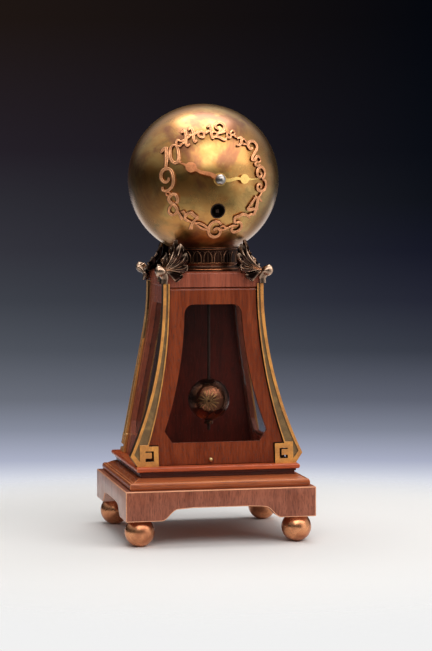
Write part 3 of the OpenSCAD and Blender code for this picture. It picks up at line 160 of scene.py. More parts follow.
def metal_of(name, clean, tarnish, blotches, cover, gloss, dull, metallic=1.0, rubbed_and_highlight=None, bump=None):
    """Old metal: two colours, the blotches in a metre and their cover, and the roughness clean and tarnished.

    The bright colour, brought out by the piece's attribute, stands for rubbed wear and painted highlight.
    """
    values = {"Clean": (*clean, 1), "Tarnish": (*tarnish, 1), "Blotch Size": blotches, "Cover": cover,
        "Gloss": gloss, "Dull": dull}
    if rubbed_and_highlight:
        values["Rubbed And Highlight"] = (*rubbed_and_highlight, 1)
    return material_of(name, old_metal, values, bump=bump, wear_and_highlight=bool(rubbed_and_highlight), Metallic=metallic)


def new_piece(name, mesh, materials):
    """Puts a mesh in the scene under that name, with its materials."""
    made = bpy.data.objects.new(name, mesh)
    bpy.context.scene.collection.objects.link(made)
    for one in materials:
        mesh.materials.append(one)
    return made


def finish_mesh(name, mesh, materials, body, replaces=(), sharp=35):
    """Closes seams, turns faces outwards, shades smooth up to a sharp angle, and gives the piece its body."""
    work = bmesh.new()
    work.from_mesh(mesh)
    bmesh.ops.remove_doubles(work, verts=work.verts, dist=1e-6)
    bmesh.ops.recalc_face_normals(work, faces=work.faces)
    work.to_mesh(mesh)
    work.free()
    mesh.shade_smooth()
    mesh.set_sharp_from_angle(angle=math.radians(sharp))
    made = new_piece(name, mesh, materials)
    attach(made, body)
    if replaces:
        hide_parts(*replaces)


def grid_faces(rows, columns, start=0):
    """Four neighbours of a grid of points make one face; returned as an array of vertex numbers."""
    i, j = np.meshgrid(np.arange(rows - 1), np.arange(columns - 1), indexing="ij")
    a = start + i * columns + j
    return np.stack([a, a + 1, a + columns + 1, a + columns], -1).reshape(-1, 4)


def sheet_mesh(name, grids, wear_and_highlight=None):
    """One mesh through one or more grids of points, each an array of rows by columns by x, y and z.

    The last argument is a grid of numbers for each grid, 1 where the metal is bright from rubbed wear and
    painted highlight, kept as a point attribute.
    """
    points, faces, start = [], [], 0
    for g in grids:
        points.append(g.reshape(-1, 3))
        faces.append(grid_faces(g.shape[0], g.shape[1], start))
        start += g.shape[0] * g.shape[1]
    mesh = bpy.data.meshes.new(name)
    mesh.from_pydata(np.concatenate(points).tolist(), [], np.concatenate(faces).tolist())
    if wear_and_highlight is not None:
        worn_and_lit = np.concatenate([w.ravel() for w in wear_and_highlight])
        mesh.attributes.new("wear_and_highlight", "FLOAT", "POINT").data.foreach_set("value", worn_and_lit)
    return mesh


def turned(profile, centre, steps=64):
    """A turned form: each point of the profile, a radius and a height, goes round a full circle."""
    r, up = np.array(profile, float).T
    turn = np.linspace(0, 2 * math.pi, steps + 1)
    heights = np.repeat(up[:, None], steps + 1, 1)
    return np.stack([np.outer(r, np.cos(turn)), np.outer(r, np.sin(turn)), heights], -1) + np.array(centre)


foot_copper = metal_of("foot copper", (0.82, 0.37, 0.18), (0.48, 0.18, 0.09), 60.0, 0.4, 0.24, 0.34,
    bump=(0.05, 0.0002))
foot_radius, flat_radius, neck_radius, screw_radius = 0.0117, 0.0025, 0.007, 0.0025
from_flat, to_neck = math.asin(flat_radius / foot_radius), math.pi - math.asin(neck_radius / foot_radius)
up_ball = np.linspace(from_flat, to_neck, 40)
ball_heights = foot_radius * math.cos(from_flat) - foot_radius * np.cos(up_ball)
ball = np.stack([foot_radius * np.sin(up_ball), ball_heights], -1)
for corner in ("fl", "fr", "bl", "br"):
    low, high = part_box("foot_" + corner)
    profile = [(0, 0), *ball.tolist(), (screw_radius, ball[-1, 1]), (screw_radius, high.z), (0, high.z)]
    foot = sheet_mesh("foot", [turned(profile, ((low.x + high.x) / 2, (low.y + high.y) / 2, 0))])
    finish_mesh("copper_foot_" + corner, foot, [foot_copper], "clock", replaces=["foot_" + corner])

# Apron: four mahogany boards mitred at the corners and sawn to a shallow arch, glued round corner blocks.
# The grain runs along each board, the edges are eased by hand, and the polish has greyed on the front. The end
# boards are painted paler and greyer, a painted reflection, and the eased edges carry a painted highlight.


def grain_group():
    """Mahogany along local z: broad soft bands, narrow streaks, and short dark pores."""
    colour, number = "NodeSocketColor", "NodeSocketFloat"
    tree, given, out = shader_group("mahogany grain", [
        ("Place", "NodeSocketVector", (0, 0, 0)), ("Light", colour, (0.3, 0.09, 0.04, 1)),
        ("Deep", colour, (0.1, 0.025, 0.015, 1)), ("Pore", colour, (0.03, 0.01, 0.006, 1)),
        ("Pore Cover", number, 0.5), ("Polish", number, 0.28)],
        [("Colour", colour), ("Roughness", number), ("Height", number)])
    band = noise(tree, given["Place"], 90.0, 4.0, 0.55, 0.6)
    streak = noise(tree, given["Place"], 700.0, 4.0, 0.65, 0.3)
    shade = ramp(tree, maths(tree, "ADD", band, streak), 0.72, 1.28)
    pore = ramp(tree, noise(tree, given["Place"], 2100.0, 2.0), 0.52, 0.66)
    pore_seen = maths(tree, "MULTIPLY", pore, given["Pore Cover"])
    wood = mix(tree, pore_seen, mix(tree, shade, given["Deep"], given["Light"]), given["Pore"])
    tree.links.new(wood, out["Colour"])
    tree.links.new(maths(tree, "MULTIPLY_ADD", pore_seen, 0.3, given["Polish"]), out["Roughness"])
    tree.links.new(maths(tree, "SUBTRACT", 1.0, pore), out["Height"])
    return tree


mahogany = grain_group()
# The grain is stretched about 25 times along a board. On the greyed apron it shows as short upright flecks.
upright, lengthwise, crosswise, speckled = (1, 1, 0.04), (0.04, 1, 1), (1, 0.04, 1), (0.8, 0.8, 0.12)


def wood_of(name, light, deep, polish, grain, pores=0.55):
    """Polished mahogany: its light and deep colours, its roughness, the run of its grain and its pores."""
    values = {"Light": (*light, 1), "Deep": (*deep, 1), "Polish": polish, "Pore Cover": pores}
    return material_of(name, mahogany, values, bump=(0.12, 0.0002), stretch=grain, Specular_IOR_Level=0.25,
        Coat_Weight=0.1, Coat_Roughness=0.2)


def clean_copy(node):
    """A copy of the node's mesh, with its triangles joined into flat faces."""
    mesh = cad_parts[node].data.copy()
    mesh.materials.clear()
    for layer in ("custom_normal", "sharp_edge", "sharp_face"):
        if layer in mesh.attributes:
            mesh.attributes.remove(mesh.attributes[layer])
    work = bmesh.new()
    work.from_mesh(mesh)
    bmesh.ops.remove_doubles(work, verts=work.verts, dist=2e-6)
    bmesh.ops.dissolve_limit(work, angle_limit=math.radians(0.6), verts=work.verts, edges=work.edges)
    work.to_mesh(mesh)
    work.free()
    return mesh


def pick_faces(mesh, pick):
    """Pick gives the number of the material at each face centre."""
    centres = np.zeros(len(mesh.polygons) * 3)
    mesh.polygons.foreach_get("center", centres)
    mesh.polygons.foreach_set("material_index", pick(centres.reshape(-1, 3)).astype(np.int32))


def ease_outside(mesh, high, width, number):
    """Eases only the edges on a frame's outer faces, in the material of that number, inside its box."""
    touch, least_angle = 1e-5, 0.5
    work = bmesh.new()
    work.from_mesh(mesh)
    outside = [e for e in work.edges if e.calc_face_angle(0) > least_angle and all(
        abs(v.co.x) > high.x - touch or abs(v.co.y) > high.y - touch for v in e.verts)]
    bmesh.ops.bevel(work, geom=outside, offset=width, offset_type="OFFSET", segments=2, profile=0.5,
        affect="EDGES", material=number)
    work.to_mesh(mesh)
    work.free()
    places = np.zeros(len(mesh.vertices) * 3)
    mesh.vertices.foreach_get("co", places)
    inside = np.clip(places.reshape(-1, 3), (-high.x, -high.y, 0), high)
    mesh.vertices.foreach_set("co", inside.ravel())


def at_ends(high):
    """Says for each place on a mitred frame if it is on a front or back board (0) or on an end board (1)."""
    return lambda centre: (high.x - np.abs(centre[:, 0])) < (high.y - np.abs(centre[:, 1]))


def eased_copy(node, name, width, materials, body, pick=None, edge=None):
    """The node's solid again with its corners eased; edge is the lighter material of the corners: rubbed wear
    with a painted highlight.
    """
    mesh = clean_copy(node)
    if pick:
        pick_faces(mesh, pick)
    mesh.shade_smooth()
    mesh.set_sharp_from_angle(angle=math.radians(30))
    made = new_piece(name, mesh, [*materials, edge] if edge else materials)
    eased = made.modifiers.new("eased edges", "BEVEL")
    eased.width = width
    eased.segments = 2
    eased.limit_method = "ANGLE"
    eased.angle_limit = math.radians(28)
    eased.harden_normals = True
    if edge:
        eased.material = len(materials)
    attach(made, body)
    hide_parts(node)


low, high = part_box("apron")
# The end boards' pale grey is a painted reflection of a bright room at the side; the edge colour is a painted
# highlight along the eased edges.
apron_woods = [
    wood_of("apron front wood", (0.36, 0.115, 0.064), (0.22, 0.062, 0.033), 0.34, speckled, pores=0.4),
    wood_of("apron side wood painted reflection", (0.7, 0.42, 0.34), (0.52, 0.29, 0.23), 0.34, speckled, pores=0.25)]
apron_edge_highlight = wood_of("apron edge painted highlight", (0.9, 0.45, 0.26), (0.7, 0.3, 0.16), 0.3, lengthwise, pores=0.2)
boards = clean_copy("apron")
pick_faces(boards, at_ends(high))
ease_outside(boards, high, 0.0007, len(apron_woods))
finish_mesh("apron_boards", boards, [*apron_woods, apron_edge_highlight], "clock", replaces=["apron"], sharp=30)

# Stepped moulding: a rounded bead board, a recessed neck and the plate that the trunk stands on. The neck is
# painted near black, a painted shade of its recess. The bead and plate are the reddest wood on the clock, and
# their rounded edges carry a painted highlight.

moulding_edge_highlight = wood_of("moulding edge painted highlight", (0.85, 0.32, 0.12), (0.6, 0.19, 0.075), 0.24, lengthwise, pores=0.2)
for node, light, deep, edge in (
        ("base_bead", (0.46, 0.12, 0.04), (0.3, 0.07, 0.024), moulding_edge_highlight),
        # The neck's near black is painted shade of its recess.
        ("base_neck", (0.1, 0.018, 0.008), (0.05, 0.009, 0.005), None),
        ("base_plate", (0.6, 0.11, 0.03), (0.36, 0.06, 0.018), moulding_edge_highlight)):
    low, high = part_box(node)
    woods = [wood_of(node + " front wood", light, deep, 0.24, lengthwise),
        wood_of(node + " end wood", light, deep, 0.24, crosswise)]
    eased_copy(node, node + "_wood", 0.0003, woods, "clock", at_ends(high), edge)

# Trunk boards: two side boards sawn to the concave flare, a back board between them and the head block
# above, all mahogany with upright grain, polished outside and darker inside.

trunk_wood = wood_of("trunk wood", (0.38, 0.1, 0.055), (0.22, 0.05, 0.026), 0.26, upright)
back_wood = wood_of("back board wood", (0.13, 0.014, 0.006), (0.055, 0.0055, 0.0025), 0.45, upright)
for node in ("side_left", "side_right", "head_block"):
    eased_copy(node, node + "_wood", 0.0005, [trunk_wood], "clock")
eased_copy("back_board", "back_board_wood", 0.0004, [back_wood], "clock")

# Front frame: one mahogany frame with upright grain, bowed like the trunk, that swings up on two brass pins.
# A small turned brass pull stands near the middle of its foot.

frame_wood = wood_of("front frame wood", (0.26, 0.052, 0.017), (0.145, 0.0245, 0.008), 0.24, upright)
# The edge colour, lighter than the frame, is a painted highlight along the eased edges, with some rubbed wear.
frame_edge_highlight = wood_of("front frame edge painted highlight", (0.5, 0.16, 0.08), (0.34, 0.09, 0.045), 0.24, upright, pores=0.2)
eased_copy("front_frame", "front_frame_wood", 0.0004, [frame_wood], "front_door", edge=frame_edge_highlight)
small_brass = metal_of("small brass", (0.75, 0.55, 0.26), (0.36, 0.24, 0.1), 120.0, 0.35, 0.2, 0.4)
for node in ("frame_pins", "frame_pull"):
    eased_copy(node, node + "_brass", 0.0001, [small_brass], "front_door")

# Window panes: 2 mm sheet glass, bent with the flare and let into rebates from behind. The front pane is
# clear, and the two side panes are greyed by age.


def glass_of(name, tint):
    """Clear glass of that tint, which lets the lamps' light straight through."""
    made, tree, glass = new_material(
        name, Base_Color=(*tint, 1), Roughness=0.015, Transmission_Weight=1.0, IOR=1.45)
    clear = add_node(tree, "ShaderNodeBsdfTransparent", {"Color": (*tint, 1)})
    way = add_node(tree, "ShaderNodeLightPath")
    either = add_node(tree, "ShaderNodeMixShader", {
        0: way.outputs["Is Shadow Ray"], 1: glass.outputs[0], 2: clear.outputs[0]})
    tree.links.new(either.outputs[0], tree.nodes["Material Output"].inputs["Surface"])
    return made


def refinish(nodes, material):
    """CAD nodes whose shape is right keep their mesh and take the material."""
    for node in nodes:
        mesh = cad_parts[node].data
        mesh.materials.clear()
        mesh.materials.append(material)


refinish(["front_glass"], glass_of("front pane glass", (0.93, 0.95, 0.94)))
refinish(["left_glass", "right_glass"], glass_of("side pane glass", (0.68, 0.7, 0.72)))

# Corner mounts: cast metal strips with a broad outer rim and a thin inner rim round a sunk field, and a
# square spiral at the foot. The rims are rubbed to orange gold and the field is olive brown; the dark sides are
# painted shade, and the eased edges carry a painted highlight.

mount_gold = metal_of("mount gold", (0.95, 0.42, 0.1), (0.56, 0.23, 0.06), 90.0, 0.42, 0.32, 0.46,
    metallic=0.4, bump=(0.06, 0.0003))
mount_field = metal_of("mount field", (0.36, 0.22, 0.085), (0.18, 0.105, 0.045), 130.0, 0.5, 0.36, 0.5,
    metallic=0.5, bump=(0.25, 0.0004))
# The dark sides are painted shade, and the bright edge colour is a painted highlight along the eased edges.
mount_side_shade = metal_of("mount side painted shade", (0.16, 0.09, 0.04), (0.07, 0.04, 0.02), 90.0, 0.5, 0.4, 0.55)
mount_edge_highlight = metal_of("mount edge painted highlight", (1.0, 0.62, 0.28), (0.7, 0.38, 0.16), 90.0, 0.35, 0.24, 0.36,
    metallic=0.6)
joint_z, half_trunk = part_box("side_left")[1].z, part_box("head_block")[1].x
# The trunk's face stands out along an arc and then a straight slope; a strip's rims stand this far off it.
flare_radius, flare_slope, rim_height, field_sink = 0.250, 0.11, 0.0025, 0.0009


def steps_of(axis):
    """Tells a mount's rims (0), field (1) and sides (2, painted shade) apart by how far a place stands out."""
    turn = math.atan(flare_slope)
    run = flare_radius * math.sin(turn)
    rim_from, field_from = rim_height - field_sink / 2, rim_height - 1.3 * field_sink

    def step_at(centre):
        """The trunk's face is an arc below the joint and then a slope; what is left of the reach is the step."""
        drop = joint_z - centre[:, 2]
        arc = flare_radius - np.sqrt(np.maximum(flare_radius ** 2 - np.clip(drop, 0, run) ** 2, 0))
        slope = flare_radius * (1 - math.cos(turn)) + (drop - run) * flare_slope
        stands = np.abs(centre[:, axis]) - (half_trunk + np.where(drop < run, arc, slope))
        return (stands < rim_from).astype(int) + (stands < field_from)

    return step_at


for corner in ("fr", "fl", "br", "bl"):
    faces_out = 1 if corner[0] == "f" else 0
    eased_copy("mount_" + corner, "mount_strip_" + corner, 0.00045, [mount_gold, mount_field, mount_side_shade],
        "clock", steps_of(faces_out), mount_edge_highlight)

# Leaf brackets: four castings that turn out from the strips over a round shoulder and open into a fan of
# nine hollow lobes with raised borders, curled up at their tips below the ball. Dark, with bright high edges:
# rubbed wear on the raised lines and lips, and a painted highlight on the round shoulder.

leaf_gilt = metal_of("leaf gilt", (0.075, 0.034, 0.022), (0.02, 0.01, 0.008), 110.0, 0.55, 0.2, 0.34,
    rubbed_and_highlight=(1.0, 0.68, 0.48), bump=(0.1, 0.0003))
# Places from the head block's lower corner, in hundredths of the leaf's height: the lobes' tips from the
# lowest up to the one on the corner's diagonal, the border below them, and how far below a tip its rib turns.
leaf_unit = 0.00035
leaf_corner = np.array([half_trunk, -half_trunk, joint_z])
shoulder = np.array([17, -13, 39.0])
lobe_tips = np.array([(-33, -8, 20), (-47, -8, 38), (-52, 10, 64), (-45, 25, 85), (-31, 31, 100.0)])
lobe_border = np.array([-20, -9, 12.0])
lobe_turns = np.array([0, 3, 13, 21, 29.0])


def smooth_path(points, per=6):
    """A smooth line through the points: between two of them, the cubic that also heads for their neighbours."""
    p = np.array(points, float)
    p = np.vstack([2 * p[0] - p[1], p, 2 * p[-1] - p[-2]])
    t = np.linspace(0, 1, per, endpoint=False)[None, :, None]
    a, b, c, d = (p[i:len(p) - 3 + i, None] for i in range(4))
    run = 0.5 * (2 * b + (c - a) * t + (2 * a - 5 * b + 4 * c - d) * t ** 2 + (3 * b - a - 3 * c + d) * t ** 3)
    return np.vstack([run.reshape(-1, p.shape[1]), p[-2]])


def bell(x, middle, width):
    """A bell curve: 1 at the middle, and next to nothing two widths away from it."""
    return np.exp(-((x - middle) / width) ** 2)


def climb(x, start, span):
    """Climbs evenly from 0 at the start to 1 at the end of the span."""
    return np.clip((x - start) / span, 0, 1)


def unit(directions):
    """Each row divided by its own length."""
    return directions / np.linalg.norm(directions, axis=1)[:, None]


def closed(front, back, worn_and_lit):
    """A sheet's front and back as one grid that ends where it began, with the wear on its front only."""
    return np.concatenate([front, back[::-1], front[:1]]), np.concatenate([worn_and_lit, worn_and_lit * 0, worn_and_lit[:1]])


def leaf_fan(rows, columns):
    """Ribs from the shoulder to the lobes' edge: each is a cubic that runs level and then turns up to its tip.

    The edge steps back between two lobes, a raised line follows each side of a lobe and a lip its tip, and the
    back is the front moved in by the sheet's thickness. Returns the sheet and where it is bright: rubbed wear on
    the raised lines and lips, and a painted highlight near the shoulder.
    """
    per_lobe, past_tips, notch_depth = 40, 0.25, 0.2
    line_height, groove_depth, lip_height, curl_height, sheet_thick = 2.9, 2.2, 1.6, 7, 4.0
    other_side = np.stack([-lobe_tips[-2::-1, 1], -lobe_tips[-2::-1, 0], lobe_tips[-2::-1, 2]], -1)
    tips, turns = np.vstack([lobe_tips, other_side]), np.concatenate([lobe_turns, lobe_turns[-2::-1]])
    last = len(tips) - 1
    # A rib's place along the edge is a whole number at each lobe's tip; past the two end tips it is the border.
    place = np.linspace(-past_tips, last + past_tips, columns)
    at, fine = np.clip(place, 0, last) * per_lobe, np.arange(last * per_lobe + 1)
    edge = smooth_path(tips, per_lobe)
    tip = np.stack([np.interp(at, fine, edge[:, k]) for k in range(3)], -1)
    other_border = np.array([-lobe_border[1], -lobe_border[0], lobe_border[2]])
    before, after = climb(-place, 0, past_tips)[:, None], climb(place, last, past_tips)[:, None]
    tip = tip + (lobe_border - tip) * before + (other_border - tip) * after
    turn_up = np.interp(at, fine, smooth_path(np.stack([turns, turns], -1), per_lobe)[:, 0])[:, None]
    away = np.abs(place - np.round(place))
    tip = tip + (shoulder - tip) * (notch_depth * climb(away, 0.2, 0.3) ** 1.6)[:, None]
    u = np.linspace(0.1, 1, rows)[:, None, None]
    level = shoulder + (tip - shoulder) * (0.5, 0.5, -0.05)
    under = tip + (shoulder - tip) * (0.12, 0.12, 0) - turn_up * (1 - before - after) * (0, 0, 1)
    sheet = (1 - u) ** 3 * shoulder + 3 * (1 - u) ** 2 * u * level + 3 * (1 - u) * u ** 2 * under + u ** 3 * tip
    along = (place + past_tips) / (last + 2 * past_tips)
    facing = np.radians(8 + 74 * along)
    out = unit(np.stack([np.sin(facing), -np.cos(facing), 1.1 * np.sin(math.pi * along)], -1))
    u = u[..., 0]
    line, groove = bell(away, 0.28, 0.06), climb(away, 0.38, 0.12)
    lip = bell(u, 0.97, 0.03) * (1 - groove)
    relief = (line_height * line - groove_depth * groove) * climb(u, 0, 0.4)
    relief = relief + lip_height * lip + curl_height * climb(u, 0.7, 0.3) ** 2
    front = sheet + out * relief[..., None]
    back = front - out * (sheet_thick * np.minimum(1, 0.3 + u))[..., None]
    # Bright: rubbed wear on the raised lines and lips, and a painted highlight near the shoulder.
    rubbed_and_highlight = np.clip(line ** 2 + 0.8 * lip + (1 - climb(u, 0.17, 0.25)) * (1 - groove), 0, 1)
    return closed(front, back, rubbed_and_highlight)


def leaf_stem(steps, around):
    """The strip's end carried up and out to the shoulder and domed over, with four ridges along its rims.

    Round the path runs an ellipse, whose size and stretch change along it. Returns it and where it is bright:
    rubbed wear on the ridges, and a painted highlight towards the shoulder.
    """
    ridge_height, least_bright = 0.16, 0.22
    path = smooth_path(
        [(8, -2, 9), (7, -3, 16), (6.5, -4.2, 24), (11, -8, 33), shoulder, shoulder + (-4, 4, 9)], steps)
    s, a = np.linspace(0, 1, len(path)), np.linspace(0, 2 * math.pi, around + 1)
    reach = np.interp(s, (0, 0.25, 0.6, 0.8, 0.93, 1.0), (7.0, 7.4, 9.5, 12.0, 9.0, 0.0))
    stretch = np.interp(s, (0, 0.5, 1), (1.3, 1.15, 1.0))
    fade = np.interp(s, (0, 0.8, 1), (1, 0.8, 0))[:, None]
    ridge = bell(np.abs((a / (math.pi / 4) + 1) % 2 - 1), 0, 0.42)[None, :] * fade
    aside = np.array([(0.7071, 0.7071, 0.0)])
    out = unit(np.cross(unit(np.gradient(path, axis=0)), aside))
    wide, deep = np.outer(reach * stretch, np.cos(a)), np.outer(reach, np.sin(a))
    ring = wide[..., None] * aside[:, None] + deep[..., None] * out[:, None]
    body = path[:, None] + ring * (1 + ridge_height * ridge)[..., None]
    # Bright: rubbed wear on the ridges, and a painted highlight rising towards the shoulder.
    worn_and_lit = np.clip(least_bright + (1 - least_bright) * ridge + 0.35 * climb(s, 0.62, 0.2)[:, None], 0, 1)
    start = np.repeat(path[:1, None], around + 1, 1)
    return np.concatenate([start, body]), np.concatenate([worn_and_lit[:1] * 0, worn_and_lit])


fan, fan_wear_and_highlight = leaf_fan(44, 340)
stem, stem_wear_and_highlight = leaf_stem(8, 48)
fan, stem = fan * leaf_unit + leaf_corner, stem * leaf_unit + leaf_corner
for corner, flip in (("fr", (1, 1, 1)), ("fl", (-1, 1, 1)), ("br", (1, -1, 1)), ("bl", (-1, -1, 1))):
    leaf = sheet_mesh("leaf", [fan * flip, stem * flip], [fan_wear_and_highlight, stem_wear_and_highlight])
    finish_mesh("leaf_casting_" + corner, leaf, [leaf_gilt], "clock", replaces=["leaf_" + corner], sharp=60)

# Collar and gallery: a turned ring, coloured very dark, that the ball sits in, its eased edges with a painted
# highlight; and round it a band of cast lotus leaves with raised borders, a second row showing between them.

collar_metal = metal_of("collar metal", (0.16, 0.07, 0.04), (0.06, 0.03, 0.02), 90.0, 0.5, 0.25, 0.45)
collar_edge_highlight = metal_of("collar edge painted highlight", (0.75, 0.3, 0.13), (0.4, 0.14, 0.06), 90.0, 0.45, 0.25, 0.4)
eased_copy("collar", "collar_ring", 0.00025, [collar_metal], "clock", edge=collar_edge_highlight)
gallery_metal = metal_of("gallery metal", (0.06, 0.025, 0.015), (0.025, 0.011, 0.008), 110.0, 0.5, 0.25, 0.4,
    rubbed_and_highlight=(0.42, 0.2, 0.11))


def lotus_band(low, high, rows, per_leaf, leaves=20):
    """A turned band whose radius rises inside each leaf's outline, most along its border and its middle rib.

    A leaf is as wide as its pitch up to a third of its height and then narrows as a parabola to its point.
    """
    wall, rise = 0.0011, 0.0006
    widest, narrows_from, finest = 0.46, 0.35, 1e-4
    border_at, border_width, rib_width, rib_top = 0.84, 0.14, 0.1, 0.8
    angle = np.linspace(0, 2 * math.pi, leaves * per_leaf + 1)[None, :]
    up = np.linspace(0, 1, rows)[:, None]
    half = widest * (1 - climb(up, narrows_from, 1 - narrows_from) ** 2) + finest
    turn = (angle / (2 * math.pi) * leaves + 0.25) % 1.0
    near, far = np.abs(turn - np.round(turn)) / half, np.abs(turn - 0.5) / half
    border, rib = bell(near, border_at, border_width), 0.6 * bell(near, 0, rib_width) * (up < rib_top)
    second = 0.5 * bell(far, border_at, border_width) * (near > 1)
    radius = high.x - rise + rise * np.where(near < 1, 0.4 + 0.6 * np.maximum(border, rib), second)
    height = np.repeat(low.z + (high.z - low.z) * up, angle.size, 1)
    face = np.stack([radius * np.sin(angle), -radius * np.cos(angle), height], -1)
    back = np.concatenate([face[..., :2] * ((high.x - wall) / radius)[..., None], face[..., 2:]], -1)
    return closed(face, back, np.where(near < 1, np.maximum(border ** 2, rib * 0.5), 0.6 * second))


band, band_wear = lotus_band(*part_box("gallery"), 36, 26)
gallery = sheet_mesh("gallery", [band], [band_wear])
finish_mesh("lotus_gallery", gallery, [gallery_metal], "clock", replaces=["gallery"], sharp=70)

# Ball: two spun brass half shells and a push-on cap at the back, under an old clear lacquer. Below the lacquer
# the brass has gone orange in clouds, olive in thin streaks, and dark red in a few patches.


def cloudy_brass():
    """Gold brass under three soft layers of tarnish, each with its own noise; roughness follows the last."""
    made, tree, shader = new_material(
        "ball brass", Metallic=1.0, Coat_Weight=0.5, Coat_IOR=1.75, Coat_Roughness=0.24)
    place = add_node(tree, "ShaderNodeTexCoord").outputs["Object"]
    tone = (0.58, 0.34, 0.09, 1)
    # Each layer: clouds in a metre, detail, warp, the noise where it starts and is full, its cover and colour.
    for per_metre, detail, warp, start, full, cover, layer in (
            (24.0, 7.0, 0.5, 0.4, 0.56, 1.0, (0.5, 0.22, 0.04, 1)),
            (55.0, 8.0, 1.2, 0.48, 0.72, 0.75, (0.25, 0.15, 0.03, 1)),
            (15.0, 6.0, 0.8, 0.5, 0.64, 0.85, (0.22, 0.06, 0.018, 1))):
        cloud = noise(tree, place, per_metre, detail, 0.62, warp)
        tone = mix(tree, ramp(tree, cloud, start, full, 0.0, cover), tone, layer)
    tree.links.new(tone, shader.inputs["Base Color"])
    tree.links.new(ramp(tree, cloud, 0.3, 0.8, 0.24, 0.35, soft=False), shader.inputs["Roughness"])
    return made


refinish(["ball_front", "ball_rear", "rear_cap"], cloudy_brass())

# Chapter ring: twelve numerals in a free hand, joined by scrolls, sawn from one copper sheet that is domed
# to the ball. The strokes are filed round, and most carry an engraved line; it stands on the ball. Their backs
# carry a painted highlight, and their sides and engraved lines painted shade.


def stroke_line(points, widths, per=6):
    """The middle line of a stroke, its sideways direction and its width, a parabola through three widths."""
    narrowest = 0.0007
    line = smooth_path(points, per)
    along = unit(np.gradient(line, axis=0))
    side = np.stack([-along[:, 1], along[:, 0]], -1)
    s = np.concatenate([[0], np.cumsum(np.linalg.norm(np.diff(line, axis=0), axis=1))])
    s /= s[-1]
    first, middle, last = widths
    width = first * (1 - s) * (1 - 2 * s) + middle * 4 * s * (1 - s) + last * s * (2 * s - 1)
    return line, side, np.maximum(width, narrowest)


def domed_stroke(line, side, width, foot, height, groove, centre_z):
    """A stroke carried over a ball: across it runs a filed round back with a groove, then the flat underside.

    Returns the stroke and where it is bright: a painted highlight on its back, and painted shade on its sides
    and in the engraved groove.
    """
    beside, middle = 0.98 - 0.06 * groove, 0.97 - 0.14 * groove
    # Each place round the stroke: how far across, how high and how bright, from painted shade (0) to painted
    # highlight (1).
    across, rise, bright = np.array([
        (-0.5, 0, 0), (-0.5, 0.6, 0.1), (-0.47, 0.86, 1), (-0.38, 0.96, 1), (-0.2, 1, 1), (-0.09, beside, 1),
        (0, middle, 1 - 0.3 * groove), (0.09, beside, 1), (0.2, 1, 1), (0.38, 0.96, 1), (0.47, 0.86, 1),
        (0.5, 0.6, 0.1), (0.5, 0, 0), (0, 0, 0), (-0.5, 0, 0)]).T
    around, end_rise = len(across), 0.3
    flat = line[:, None] + side[:, None] * (across[None, :, None] * width[:, None, None])
    flat = np.concatenate([line[:1, None].repeat(around, 1), flat, line[-1:, None].repeat(around, 1)])
    end = np.full(around, end_rise)
    radius = foot + height * np.vstack([end, np.tile(rise, (len(line), 1)), end])
    depth = -np.sqrt(np.maximum(radius ** 2 - flat[..., 0] ** 2 - flat[..., 1] ** 2, 0))
    dome = np.stack([flat[..., 0], depth, flat[..., 1] + centre_z], -1)
    return dome, np.tile(bright, (len(flat), 1))


